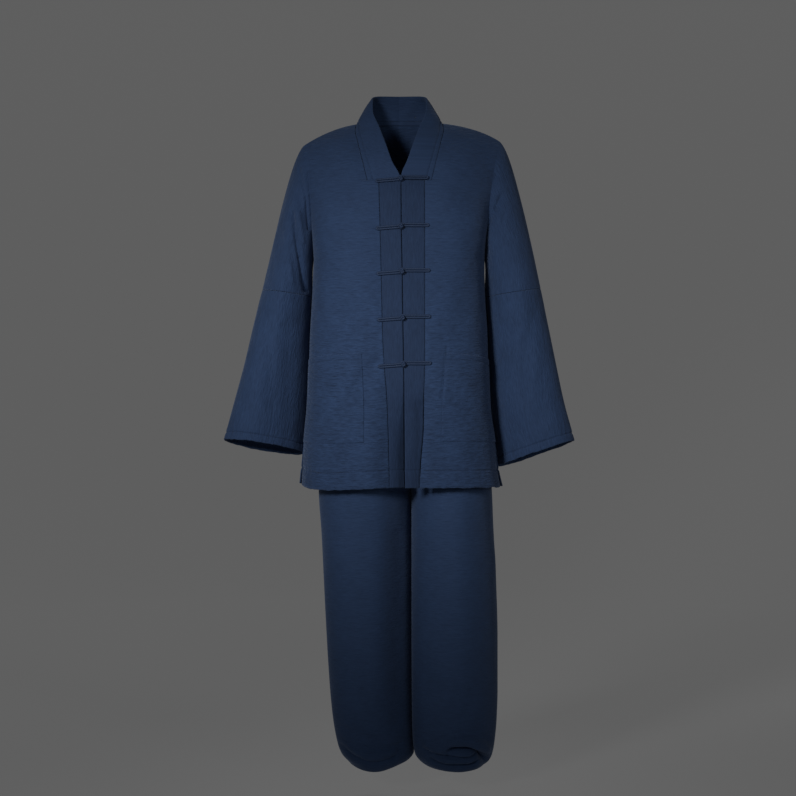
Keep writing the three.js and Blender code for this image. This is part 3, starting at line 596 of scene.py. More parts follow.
def unit(vectors):
    return vectors / np.maximum(np.linalg.norm(vectors, axis=-1, keepdims=True), 1e-9)


def normals_of(points, faces):
    """Sum of the faces' normals at each point, made one long."""
    a, b, c, d = (points[faces[:, k]] for k in range(4))
    normal = np.cross(c - a, d - b)
    total = np.zeros_like(points)
    for k in range(4):
        np.add.at(total, faces[:, k], normal)
    return unit(total)


# %% Give a sheet its thickness and its rounded rim
SEAM_GAP = 0.3
RIM_TURNS = np.radians([45, 90, 135])


def free_edges(points, faces):
    """Face and corner where each free edge starts, and the length of the shortest shared
    edge at each point. An edge is shared when another face runs along it the other way."""
    count = len(points)
    starts, ends = faces, np.roll(faces, -1, axis=1)
    ahead, back = (starts * count + ends).ravel(), (ends * count + starts).ravel()
    free = ~np.isin(ahead, back)
    lengths = np.linalg.norm(points[starts] - points[ends], axis=2).ravel()
    nearest = np.full(count, np.inf)
    for ring in (starts.ravel(), ends.ravel()):
        np.minimum.at(nearest, ring[~free], lengths[~free])
    return *np.nonzero(free.reshape(faces.shape)), nearest


def outward_at(points, cells, a, b):
    """The way out of the sheet at each point of its free edges, which run from a to b: level
    with the cloth and square to the edge."""
    cell = points[cells]
    normal = np.cross(cell[:, 2] - cell[:, 0], cell[:, 3] - cell[:, 1])
    outward = unit(np.cross(points[b] - points[a], normal))
    out = np.zeros_like(points)
    np.add.at(out, a, outward)
    np.add.at(out, b, outward)
    return unit(out)


def shell(points, faces, corners, thickness):
    """Outer face, inner face and a half-round rim. Every free edge is drawn in by half the
    thickness, and the rim bulges out again by as much."""
    normals = normals_of(points, faces)
    count = len(points)
    face, corner, nearest = free_edges(points, faces)
    after = (corner + 1) % 4
    a, b = faces[face, corner], faces[face, after]
    out = outward_at(points, faces[face], a, b)
    edge = np.unique(np.concatenate([a, b]))
    radius = thickness / 2
    bulge = np.minimum(radius, 0.5 * nearest[edge])[:, None]
    base = points[edge] - out[edge] * (bulge + SEAM_GAP / 2)
    outer = points.copy()
    outer[edge] = base
    rings = [outer, outer - normals * thickness]
    for turn in RIM_TURNS:
        rings.append(base + out[edge] * bulge * math.sin(turn)
                     - normals[edge] * radius * (1 - math.cos(turn)))
    slot = np.zeros(count, int)
    slot[edge] = np.arange(len(edge))
    rims = range(len(RIM_TURNS))
    levels = [np.arange(count)] + [2 * count + k * len(edge) + slot for k in rims]
    levels.append(np.arange(count) + count)
    place_a, place_b = corners[face, corner], corners[face, after]
    all_faces = [faces, faces[:, ::-1] + count]
    all_corners = [corners, corners[:, ::-1]]
    for upper, lower in zip(levels[:-1], levels[1:]):
        all_faces.append(np.stack([upper[b], upper[a], lower[a], lower[b]], axis=1))
        all_corners.append(np.stack([place_b, place_a, place_a, place_b], axis=1))
    return np.concatenate(rings), np.concatenate(all_faces), np.concatenate(all_corners)


def area_of(points, faces):
    a, b, c, d = (points[faces[:, k]] for k in range(4))
    return float(np.linalg.norm(np.cross(c - a, d - b), axis=1).sum() / 2)


# %% Make a Blender object of it
CLOTH_PLACE = "cloth_place"


def make_object(name, points, faces, corners=None):
    """A mesh object at the origin; its points are given in millimetres."""
    mesh = bpy.data.meshes.new(name)
    mesh.from_pydata((points * MM).tolist(), [], faces.tolist(), shade_flat=False)
    if corners is not None:
        layer = mesh.uv_layers.new(name=CLOTH_PLACE)
        layer.data.foreach_set("uv", (corners * MM).reshape(-1).astype(np.float32))
    mesh.validate()
    piece = bpy.data.objects.new(name, mesh)
    bpy.context.scene.collection.objects.link(piece)
    return piece


# %% [markdown]
# ## Cords and bindings
#
# A profile carried along a path makes a cord, a binding or a thread: the profile is a circle
# in the plane across the path. A curve object with a bevel would do the same, but a mesh has
# its own places for a pattern along the cord.

# %% Carry a circle along a path
def tube(path, up, radius, sides=10):
    """Points, faces and places of an open tube. Each ring lies across the path, turned by
    `up`."""
    tangent = unit(np.gradient(path, axis=0))
    across = unit(np.cross(tangent, up))
    above = np.cross(across, tangent)
    angle = np.linspace(0, 2 * math.pi, sides, endpoint=False)
    radius = np.broadcast_to(radius, len(path))[:, None, None]
    ring = (across[:, None] * np.cos(angle)[None, :, None]
            + above[:, None] * np.sin(angle)[None, :, None])
    points = path[:, None] + ring * radius
    along = np.concatenate([[0], np.cumsum(np.linalg.norm(np.diff(path, axis=0), axis=1))])
    index = np.arange(len(path) * sides).reshape(len(path), sides)
    after = np.roll(index, -1, axis=1)
    faces = np.stack([index[:-1], index[1:], after[1:], after[:-1]], axis=-1).reshape(-1, 4)
    k = np.arange(sides)
    round_ = 2 * math.pi * np.max(radius) / sides
    place = np.stack(np.broadcast_arrays(along[:, None], k * round_), axis=-1)
    place_after = np.stack(np.broadcast_arrays(along[:, None], (k + 1) * round_), axis=-1)
    corners = np.stack([place[:-1], place[1:], place_after[1:], place_after[:-1]], axis=-2)
    return points.reshape(-1, 3), faces, corners.reshape(-1, 4, 2)


def together(parts):
    """Joins several sets of points, faces and places into one."""
    points, faces, corners, count = [], [], [], 0
    for part_points, part_faces, part_corners in parts:
        points.append(part_points)
        faces.append(part_faces + count)
        corners.append(part_corners)
        count += len(part_points)
    return np.concatenate(points), np.concatenate(faces), np.concatenate(corners)


# %% [markdown]
# ## Stitches
#
# A machine stitch is a short length of thread that dips into the cloth at both ends. There
# are thousands of them, so each one is only a slim box with drawn-in ends, and all those of a
# piece are one mesh.

# %% Lay stitches along a line
STITCH_PITCH = 3.6
STITCH_LENGTH = 2.6
THREAD_RADIUS = 0.32
STITCH_RINGS = np.array([[-0.5, 0.4, -0.5], [-0.3, 1, 0.6], [0.3, 1, 0.6], [0.5, 0.4, -0.5]])


def stitches(line, normals):
    """Places one stitch every pitch of the line: rings of four points at four stations, each
    station with its share of the length, its width and its height over the cloth."""
    step = np.linalg.norm(np.diff(line, axis=0), axis=1)
    along = np.concatenate([[0], np.cumsum(step)])
    centres = np.arange(STITCH_PITCH, along[-1] - STITCH_PITCH, STITCH_PITCH)

    def at(places, values):
        return np.stack([np.interp(places, along, values[:, k]) for k in range(3)], axis=1)

    up = unit(at(centres, normals))
    ahead = unit(at(centres + 1, line) - at(centres - 1, line))
    across = np.cross(ahead, up)
    station, width, height = (STITCH_RINGS[:, k][None, :, None, None] for k in range(3))
    turn = np.radians([0, 90, 180, 270])[None, None, :, None]
    ring = across[:, None, None] * np.cos(turn) + up[:, None, None] * np.sin(turn)
    points = (at(centres, line)[:, None, None] + ahead[:, None, None] * station * STITCH_LENGTH
              + up[:, None, None] * height * THREAD_RADIUS + ring * width * THREAD_RADIUS)
    index = np.arange(16).reshape(4, 4)
    after = np.roll(index, -1, axis=1)
    one = np.stack([index[:-1], after[:-1], after[1:], index[1:]], axis=-1).reshape(-1, 4)
    one = np.concatenate([one, index[:1, ::-1], index[-1:]])
    faces = one[None] + np.arange(len(centres))[:, None, None] * 16
    places = np.zeros((len(centres) * len(one), 4, 2))
    return points.reshape(-1, 3), faces.reshape(-1, 4), places


# %% [markdown]
# ## Small unevenness
#
# Soft cloth is never quite smooth: it has slow swells a hand wide and small puckers beside
# each seam. A random number on every whole point of space, blended between the eight points
# around each place, gives such swells, and the same ones on every run.

# %% Make smooth random heights
def swell(at, seed):
    """Heights from -1 to 1: random numbers on a lattice of unit cells, smoothly blended."""
    cell = np.floor(at)
    t = at - cell
    t = t * t * (3 - 2 * t)
    total = np.zeros(at.shape[:-1])
    for corner in product((0, 1), repeat=3):
        key = (cell + corner) @ np.array([127.1, 311.7, 74.7]) + seed * 57.3
        height = np.sin(key) * 43758.5453
        weight = np.prod(np.where(np.array(corner) == 1, t, 1 - t), axis=-1)
        total += weight * (height - np.floor(height))
    return total * 2 - 1


def groove(distance, width, depth):
    """A narrow furrow along a line of stitches: a bell of the distance from it."""
    return -depth * np.exp(-((distance / width) ** 2))


# %% [markdown]
# ## Cloth and cord
#
# The uniform is a navy cotton crepe. Its weft is drawn up into fine ripples, a few
# millimetres from one to the next and some centimetres long, and on that lies the weave. The
# ripples follow the cloth, so they run across the body and along the sleeves. An image could
# show them, but noise stretched along the weft does the same with no file. It reads the UV
# map, which holds each point's place on the cloth in metres.
#
# The maths of a material is easier to read as sums than as a row of nodes. A small class
# wraps one output of a node, and each sum or product adds the Math node that works it out.

# %% Write shader maths as expressions
class Wire:
    """One output of a node."""

    def __init__(self, finish, socket):
        self.finish, self.socket = finish, socket

    def maths(self, operation, *inputs):
        return self.finish.node("ShaderNodeMath", {"operation": operation}, list(inputs))

    def __add__(self, other):
        return self.maths("ADD", self, other)

    def __radd__(self, other):
        return self.maths("ADD", other, self)

    def __sub__(self, other):
        return self.maths("SUBTRACT", self, other)

    def __rsub__(self, other):
        return self.maths("SUBTRACT", other, self)

    def __mul__(self, other):
        return self.maths("MULTIPLY", self, other)

    def __rmul__(self, other):
        return self.maths("MULTIPLY", other, self)


class Finish:
    """A material, and the one method that adds nodes to it."""

    def __init__(self, name, **constants):
        self.material = bpy.data.materials.new(name)
        self.material.use_nodes = True
        self.tree = self.material.node_tree
        self.shader = self.tree.nodes["Principled BSDF"]
        for socket, value in constants.items():
            self.shader.inputs[socket.replace("_", " ")].default_value = value

    def node(self, kind, settings=None, inputs=None, output=0):
        """Adds a node: its settings first, then the values or wires of its inputs."""
        node = self.tree.nodes.new(kind)
        for key, value in (settings or {}).items():
            setattr(node, key, value)
        pairs = enumerate(inputs) if isinstance(inputs, list) else (inputs or {}).items()
        for key, value in pairs:
            if isinstance(value, Wire):
                self.tree.links.new(value.socket, node.inputs[key])
            else:
                node.inputs[key].default_value = value
        return Wire(self, node.outputs[output])

    def noise(self, place, scale, stretch, detail=2.0):
        """Noise whose cells are stretch times longer along the weft than across it."""
        squeezed = self.node("ShaderNodeVectorMath", {"operation": "MULTIPLY"},
                             [place, (1 / stretch, 1, 1)])
        return self.node("ShaderNodeTexNoise", {"noise_dimensions": "3D"},
                         {"Vector": squeezed, "Scale": scale, "Detail": detail})

    def colours(self, factor, dark, light):
        return self.node("ShaderNodeMix", {"data_type": "RGBA"},
                         {0: factor, 6: dark, 7: light}, output=2)

    def feed(self, socket, wire):
        self.tree.links.new(wire.socket, self.shader.inputs[socket])


# %% Dye and weave the crepe, and paint shade into its ripples
NAVY_DARK = (0.0085, 0.0220, 0.058, 1)
NAVY_LIGHT = (0.0240, 0.0545, 0.132, 1)
GROWTH_START = 0.25
GROWTH_END = 0.55


def crepe(name, ripple_height=1.0, level=0.5, contrast=0.65, lower_down=1.0):
    """Navy crepe: ripples across the warp, a fine weave, slubs and a soft sheen. The ridges of the
    ripples are painted a little lighter than the furrows, as painted light and painted shade over
    the cloth's own tone of weave and slubs. They grow by the last factor towards the hem, where no
    weight pulls them flat."""
    finish = Finish(name, Roughness=0.84, Sheen_Weight=0.2, Sheen_Roughness=0.45,
                    Specular_IOR_Level=0.3)
    finish.shader.inputs["Sheen Tint"].default_value = (0.5, 0.66, 1, 1)
    place = finish.node("ShaderNodeUVMap", {"uv_map": CLOTH_PLACE})
    drift = finish.noise(place, 22, 1)
    ripples = finish.noise(place, 300, 4.5)
    long_ripples = finish.noise(place, 130, 4.5, 1.0)
    weave = finish.noise(place, 1500, 1.6, 1.0)
    slubs = finish.noise(place, 620, 9, 1.0)
    # The ripples' share of this is painted shade in the furrows and painted light on the ridges;
    # slubs, weave and drift are the cloth's own tone.
    unevenness_and_ripple_shade = ripples * 0.9 + slubs * 0.9 + long_ripples * 0.5 + weave * 0.6 + drift * 0.5
    down = finish.node("ShaderNodeSeparateXYZ", None, [place], output=1)
    growth = finish.node("ShaderNodeMapRange", {"interpolation_type": "SMOOTHSTEP"},
                         [down, GROWTH_START, GROWTH_END, 1.0, lower_down])
    lightness = (unevenness_and_ripple_shade - 1.7) * growth * contrast + level
    finish.feed("Base Color", finish.colours(lightness, NAVY_DARK, NAVY_LIGHT))
    finish.feed("Roughness", weave * 0.16 + 0.76)
    relief = ripples * 0.7 + long_ripples * 0.5 + slubs * 0.2 + weave * 0.08
    height = relief * growth * ripple_height
    bump = finish.node("ShaderNodeBump", None,
                       {"Strength": 1.0, "Distance": 0.0026, "Height": height})
    finish.feed("Normal", bump)
    return finish.material


jacket_cloth = crepe("jacket crepe", lower_down=1.7)
trouser_cloth = crepe("trouser crepe", 0.7, 0.5, 0.5)
collar_cloth = crepe("collar crepe", 0.6, 0.46, 0.5)
# The bands' crepe is set much darker than the jacket's: painted shade for the shade that falls on
# the bands at the middle front.
band_cloth_painted_shade = crepe("band crepe painted shade", 0.5, 0.12, 0.45)
print("cloths", [cloth.name for cloth in (jacket_cloth, trouser_cloth, collar_cloth, band_cloth_painted_shade)])

# %% Twist the cord and the thread
def cord_finish(name, light, dark, scale, height):
    """Rolled cord or thread: fine slanting ridges, a little glossier than the cloth."""
    finish = Finish(name, Roughness=0.6, Specular_IOR_Level=0.35)
    place = finish.node("ShaderNodeUVMap", {"uv_map": CLOTH_PLACE})
    ridges = finish.node("ShaderNodeTexWave", {"bands_direction": "DIAGONAL"},
                         {"Vector": place, "Scale": scale, "Distortion": 1.2})
    # The grooves between the ridges are painted darker than their crests: painted shade, on top of
    # the bump's relief.
    finish.feed("Base Color", finish.colours(ridges, dark, light))
    finish.feed("Roughness", ridges * 0.15 + 0.55)
    finish.feed("Normal", finish.node("ShaderNodeBump", None,
                                      {"Strength": 0.7, "Distance": height, "Height": ridges}))
    return finish.material


cord_material = cord_finish("rolled cord", (0.017, 0.040, 0.098, 1), (0.007, 0.017, 0.045, 1),
                            260, 0.0004)
thread_material = cord_finish("sewing thread", (0.020, 0.038, 0.085, 1),
                              (0.012, 0.024, 0.058, 1), 700, 0.0001)

# %% [markdown]
# ## Jacket fronts
#
# A front is the widest piece of the jacket. Its grid has rows about 3.5 mm apart, close
# enough for every soft fold, while the ripples and the weave are left to the material. The
# hem is turned up and stitched, so a shallow furrow runs 36 mm above the edge, and the cloth
# puckers beside it.

# %% Lay out rows and columns
HEM_STITCH = 721
UPPER_ROWS = np.concatenate([np.linspace(0, SHOULDER, 58)[:-1],
                             np.linspace(SHOULDER, FOOT_ROW, 6)[:-1],
                             np.linspace(FOOT_ROW, 1, 47)])
NEAR_STITCH = np.linspace(-5, 5, 9)
HEM_ROWS = row_at(HEM_STITCH + NEAR_STITCH)
LOWER_ROWS = np.union1d(np.linspace(1, 2, 130), HEM_ROWS)
HEM_LINE = int(np.argmin(np.abs(LOWER_ROWS - row_at(HEM_STITCH))))
FRONT_COLUMNS = np.linspace(0, 1, 84)
SLEEVE_COLUMNS = np.linspace(0, 1, 72)


def lengths_along(points, axis):
    """Distance along each row or column of a grid, from its start."""
    step = np.linalg.norm(np.diff(points, axis=axis), axis=-1)
    first = np.zeros_like(np.take(step, [0], axis=axis))
    return np.concatenate([first, np.cumsum(step, axis=axis)], axis=axis)


def body_places(points, start=0.0):
    """Place on the cloth of a body panel: along its rows, and down from the shoulder."""
    return np.stack([start + lengths_along(points, 1), -points[..., 2]], axis=-1)


def sleeve_places(points, fold_places):
    """On the upper sleeve the weft runs on from the fold, along the sleeve."""
    along = fold_places[:, :1] + lengths_along(points, 1)
    return np.stack([along, np.broadcast_to(fold_places[:, 1:], along.shape)], axis=-1)


SWELLS = rows_of("kind seed height size", [
    ["front", 3, 0.9, 42], ["front arm", 13, 1.1, 50], ["back", 5, 1.0, 60],
    ["back arm", 15, 1.2, 50], ["sleeve", 23, 1.3, 46], ["collar", 41, 0.4, 30],
    ["band", 51, 0.5, 34], ["leg", 71, 1.5, 70],
])
SWELLS = {row.kind: row for row in SWELLS}
EVEN_RIM = 25


def softened(points, flip, kind, side=0):
    """Moves a grid's points along their normals by slow random swells, which die away
    towards its edges. The side makes left and right differ."""
    row = SWELLS[kind]
    seed, size = row.seed + side, row.size
    faces = quads_of(*points.shape[:2])
    flat = points.reshape(-1, 3)
    normals = normals_of(flat, faces[:, ::-1] if flip else faces).reshape(points.shape)
    edge = np.minimum(lengths_along(points, 1), lengths_along(points[:, ::-1], 1)[:, ::-1])
    ends = np.minimum(lengths_along(points, 0), lengths_along(points[::-1], 0)[::-1])
    inside = fade(0, EVEN_RIM, np.minimum(edge, ends))
    waves = swell(points / size, seed) + 0.35 * swell(points / (size * 0.35), seed + 1)
    return points + normals * (row.height * waves * inside)[..., None], normals


# %% Turn up the edges
PUCKERS = {
    "hem": (77, (6, 6, 26)), "hem sway": (78, (19, 19, 60)),
    "cuff": (31, (6, 6, 20)), "cuff sway": (32, (17, 17, 50)),
    "collar": (43, (14, 14, 6)), "pocket": (61, (5, 5, 18)),
}
TURNED_EDGES = {
    row.kind: row for row in rows_of(
        "kind furrow pucker reach full full_at swing above below wave slow start end", [
            ["hem", 1.5, 1.0, 14, 0.7, 10, 1.2, -20, 40, 0.9, 1.4, 8, 36],
            ["cuff", 1.4, 0.9, 12, 0.5, 8, 1.1, -14, 14, 0.8, 1.0, 4, 17],
        ])
}
FURROW_WIDTH = 1.9


def puckers(points, kind):
    """Small swells beside a seam: a seed, and how long a swell is in X, Y and Z."""
    seed, size = PUCKERS[kind]
    return swell(points / np.array(size, float), seed)


def turned_edge(points, normals, gap, kind, at, share=1.0):
    """Furrow along a turned-up edge's stitches, with puckers on both sides of it and a wavy
    foot. The edge is doubled below the stitches, so it is a little fuller there."""
    edge = TURNED_EDGES[kind]
    wave, slow = puckers(at, kind), puckers(at, f"{kind} sway")
    height = groove(gap, FURROW_WIDTH, edge.furrow)
    height = height + share * edge.pucker * wave * np.exp(-((gap / edge.reach) ** 2))
    height = height + edge.full * fade(2, edge.full_at, gap)
    height = height + share * edge.swing * slow * fade(edge.above, edge.below, gap)
    drop = share * (edge.wave * wave + edge.slow * slow) * fade(edge.start, edge.end, gap)
    return points + normals * height[..., None] + xyz(0, 0, drop)


def hemmed(points, normals, down, share=1.0):
    """The jacket's hem on a grid, with a share of its puckers."""
    return turned_edge(points, normals, down - HEM_STITCH, "hem", points, share)


# %% Cut and sew the fronts
CREASES = rows_of("x1 z1 x2 z2 width depth", [
    [-52, -498, -82, -519, 4.5, 1.6],
    [-82, -519, -105, -567, 5, 1.4],
    [-58, -508, -72, -560, 4, 0.9],
    [-62, -452, -80, -505, 3.5, 0.8],
    [-74, -456, -86, -500, 3, 0.7],
    [-96, -585, -104, -648, 5, 0.8],
    [100, -560, 150, -640, 6, 0.8],
    [120, -505, 158, -560, 5, 0.6],
    [92, -470, 80, -577, 2.4, 2.4],
    [-118, -470, -84, -474, 2.4, 1.2],
])
JACKET_WALL = 3.0
ARMPIT_CREASES = rows_of("x1 z1 x2 z2 width depth", [
    [195, -108, 181, -141, 3.2, 2.6],
    [205, -155, 193, -181, 3.4, 2.8],
    [193, -181, 178, -212, 3.4, 2.6],
    [214, -190, 196, -250, 4.0, 1.8],
    [-229, -190, -213, -280, 4.6, 7.5],
    [-211, -286, -201, -350, 5.0, 7.5],
    [-240, -230, -228, -330, 7.0, -3.0],
    [-216, -92, -202, -150, 3.4, 2.6],
    [-200, -156, -193, -222, 3.4, 4.0],
    [-214, -190, -204, -250, 4.0, -2.2],
])
HEM_HANG = 7
HANG_TOP = 560
WEFT_START = 50


def front_hang(side, t, down):
    """How far the right front hangs down in the middle of its hem."""
    return HEM_HANG * np.sin(math.pi * t) * fade(HANG_TOP, JACKET_HEM, down) * (side == RIGHT)


def front_sheet(side):
    rows = np.concatenate([UPPER_ROWS, LOWER_ROWS[1:]])
    t, v = np.meshgrid(FRONT_COLUMNS, rows)
    down = down_of(v)
    flip = side == RIGHT
    panel = raised(front_point(side, t, v)) - xyz(0, 0, front_hang(side, t, down))
    panel, normals = softened(panel, flip, "front", side)
    panel = hemmed(panel, normals, down)
    panel = panel + normals * (-dent(panel, CREASES) * fade(0, 0.05, t))[..., None]
    places = body_places(panel, WEFT_START)
    w, upper = np.meshgrid(SLEEVE_COLUMNS, UPPER_ROWS)
    sleeve = raised(upper_sleeve_point(side, "front", upper, w))
    sleeve, outward = softened(sleeve, flip, "front arm", side)
    creased = dent(sleeve, ARMPIT_CREASES) * fade(0, 0.06, w) * fade(0, 0.08, 1 - w)
    sleeve = sleeve - outward * creased[..., None]
    fold = panel[:len(UPPER_ROWS), -1]
    sleeve[:, 0] = fold
    sheet = Sheet().grid(panel, places, flip)
    sheet.stitch(panel[len(UPPER_ROWS) - 1 + HEM_LINE, 1:-1], normals[-1, 1:-1])
    return sheet.grid(sleeve, sleeve_places(sleeve, places[:len(UPPER_ROWS), -1]), flip)


def cut_size(points, corners):
    """Width and length of a cut, in metres, from its places on the cloth."""
    span = corners.reshape(-1, 2).max(0) - corners.reshape(-1, 2).min(0)
    return float(span[0]) * MM, float(span[1]) * MM


def dress(piece, material, node):
    """Gives a piece its material, hides the node it stands for and hangs the piece on the root."""
    piece.data.materials.append(material)
    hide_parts(node)
    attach(piece, "root")
    return piece


def sew(node, sheet, thickness, material, extra=(), strip=None):
    """A curved strip is cut straight, so only its width is known beforehand."""
    name = f"{node}_cloth"
    points, faces, corners = sheet.joined()
    area = area_of(points, faces) * MM * MM
    piece = dress(make_object(name, *shell(points, faces, corners, thickness)),
                  material, node)
    pieces = list(extra)
    if sheet.seams:
        threads = make_object(f"{name}_stitches",
                              *together([stitches(*seam) for seam in sheet.seams]))
        pieces.append(dress(threads, thread_material, node))
    width, length = cut_size(points, corners)
    if strip:
        width, length = strip * MM, area / (strip * MM)
    if area > width * length:
        grow = area / (width * length)
        width, length = width * grow ** 0.5, length * grow ** 0.5
    print(f"{name}: {len(piece.data.polygons)} faces, cut {width:.2f} by {length:.2f} m,"
          f" {area:.3f} square metres")


def sew_pair(stem, make_sheet, thickness, material):
    """Sews the right piece, then the left one. Each rests on a node named for its side."""
    for side, name in SIDE_NAMES.items():
        sew(f"{stem}_{name}", make_sheet(side), thickness, material)


sew_pair("jacket_front", front_sheet, JACKET_WALL, jacket_cloth)

# %% [markdown]
# ## Jacket back
#
# The back is one piece from sleeve to sleeve. It could be two mirrored halves, but a seam
# down the middle would be wrong for this cut, so the two grids meet on the middle line and
# are joined there.

# %% Cut and sew the back
BACK_COLUMNS = np.concatenate([np.linspace(0, NECK_SHARE, 24)[:-1],
                               np.linspace(NECK_SHARE, 1, 54)])
BACK_ROWS = np.linspace(0, 1, 78)
BACK_SLEEVE_COLUMNS = np.linspace(0, 1, 60)


def back_sheet():
    sheet = Sheet()
    rows = np.concatenate([BACK_ROWS, LOWER_ROWS[1:]])
    for side in (RIGHT, LEFT):
        flip = side == LEFT
        u, v = np.meshgrid(BACK_COLUMNS, rows)
        panel, normals = softened(raised(back_point(side, u, v)), flip, "back")
        panel = hemmed(panel, normals, down_of(v), 0.7 * fade(0, 0.03, u))
        panel[:, 0, 0] = mix(NECK_SHIFT, body(ARMPIT).shift, np.minimum(rows, 1))
        low = rows > 1
        panel[low, 0, 0] = body(down_of(rows[low])).shift
        places = body_places(panel)
        places[..., 0] *= side
        w, upper = np.meshgrid(BACK_SLEEVE_COLUMNS, BACK_ROWS)
        sleeve = raised(upper_sleeve_point(side, "back", upper, w))
        sleeve, _ = softened(sleeve, flip, "back arm", side)
        sleeve[:, 0] = panel[:len(BACK_ROWS), -1]
        fold = places[:len(BACK_ROWS), -1]
        outer = sleeve_places(sleeve, fold * [side, 1])
        outer[..., 0] *= side
        sheet.grid(panel, places, flip).grid(sleeve, outer, flip)
        sheet.stitch(panel[len(BACK_ROWS) - 1 + HEM_LINE, :-1], normals[-1, :-1])
    return sheet


sew("jacket_back", back_sheet(), JACKET_WALL, jacket_cloth)

# %% [markdown]
# ## Sleeves
#
# The lower sleeve is a tube, sewn to the upper one above the elbow. Its weft runs along the
# arm. The cuff is turned in and stitched 17 mm above its edge.

# %% Cut and sew the lower sleeves
CUFF_STITCH = 17.0
RING_COLUMNS = np.linspace(0, 2 * math.pi, 133)
SLEEVE_LENGTH = 330
UPPER_LENGTH = 300
SLEEVE_ROWS = np.union1d(np.linspace(0, 1, 88), 1 - (CUFF_STITCH + NEAR_STITCH) / SLEEVE_LENGTH)
CUFF_LINE = int(np.argmin(np.abs(SLEEVE_ROWS - 1 + CUFF_STITCH / SLEEVE_LENGTH)))


def sleeve_sheet(side):
    angle, q = np.meshgrid(RING_COLUMNS, SLEEVE_ROWS)
    arm = sleeve_point(side, angle, q)
    flip = side == LEFT
    soft, normals = softened(arm, flip, "sleeve", side)
    soft = turned_edge(soft, normals, CUFF_STITCH - (1 - q) * SLEEVE_LENGTH, "cuff", arm)
    soft[:, -1] = soft[:, 0]
    places = np.stack([lengths_along(arm, 0) + UPPER_LENGTH, lengths_along(arm, 1)], axis=-1)
    sheet = Sheet().grid(soft, places, flip)
    return sheet.stitch(soft[CUFF_LINE], normals[CUFF_LINE])


sew_pair("sleeve", sleeve_sheet, JACKET_WALL, jacket_cloth)

# %% [markdown]
# ## Collar and front bands
#
# The collar is a straight band that stands up round the neck and crosses the chest to the
# foot of the V. It is doubled, so it looks fuller than the fronts, and a line of stitches
# runs 9 mm inside its seam. Below it two narrow bands carry the fastenings.

# %% Cut and sew the collar and the bands
COLLAR_STITCH = 0.17
COLLAR_WIDTH = 66
COLLAR_FACE = 60
BAND_RECESS = 7
BINDING_START = 0.5
BINDING_RADIUS = 2.4


def collar_sheet():
    sheet = Sheet()
    for side in (RIGHT, LEFT):
        columns = np.union1d(np.linspace(0, 1, 17), COLLAR_STITCH + NEAR_STITCH / COLLAR_FACE)
        c, s = np.meshgrid(columns, np.linspace(0, 1, 110))
        flip = side == RIGHT
        band = raised(collar_point(side, c, s))
        soft, normals = softened(band, flip, "collar")
        width = lengths_along(band, 1)
        gap = width - COLLAR_STITCH * width[:, -1:]
        wave = puckers(band, "collar")
        height = groove(gap, 1.8, 1.1) + 0.4 * wave * np.exp(-((gap / 9) ** 2))
        soft = soft + normals * height[..., None]
        soft[-1, :, 0] = NECK_SHIFT
        places = np.stack([soft[..., 0] + width, -soft[..., 2]], axis=-1)
        sheet.grid(soft, places, flip)
        line = int(np.argmin(np.abs(columns - COLLAR_STITCH)))
        sheet.stitch(soft[:-1, line], normals[:-1, line])
    return sheet


def neck_binding():
    """Narrow binding that covers the neck seam on the inside, from shoulder to shoulder."""
    s = np.linspace(BINDING_START, 1, 44)
    halves = [neck_seam(RIGHT, s), neck_seam(LEFT, s)[-2::-1]]
    path = raised(np.concatenate(halves))
    inward = unit(xyz(NECK_SHIFT - path[:, 0], -path[:, 1], 0))
    return tube(path + inward * JACKET_WALL, xyz(0 * path[:, 0], 0, 1), BINDING_RADIUS)


def placket_sheet(side):
    rows = np.union1d(np.linspace(BAND_FOOT, JACKET_HEM, 180), HEM_STITCH + NEAR_STITCH)
    c, down = np.meshgrid(np.linspace(0, 1, 13), rows)
    band = placket_point(side, c, down)
    if side == LEFT:
        band = band + xyz(0, BAND_RECESS * (1 - c) * fade(TURN_TOP, 610, down), 0)
    flip = side == LEFT
    soft, normals = softened(band, flip, "band", side)
    soft = hemmed(soft, normals, down, 0.4)
    return Sheet().grid(soft, np.stack([down, side * band[..., 0]], axis=-1), flip)


binding = dress(make_object("neck_binding_cloth", *neck_binding()), collar_cloth,
                "collar")
sew("collar", collar_sheet(), JACKET_WALL, collar_cloth,
    extra=[binding], strip=COLLAR_WIDTH)
sew_pair("placket", placket_sheet, JACKET_WALL, band_cloth_painted_shade)

# %% [markdown]
# ## Pockets
#
# A patch pocket is a second layer of the same cloth, sewn on along its sides and foot. It has
# to follow the front exactly, so its points are the front's own points, moved out.

# %% Cut and sew the pockets
POCKET_LIFT = 1.7
POCKET_WALL = 1.4
POCKET_STITCH = 12.0
POCKET_INNER = {RIGHT: (0.15, 0.15), LEFT: (0.16, 0.128)}
POCKET_OUTER = 0.93
POCKET_WEFT_START = 80


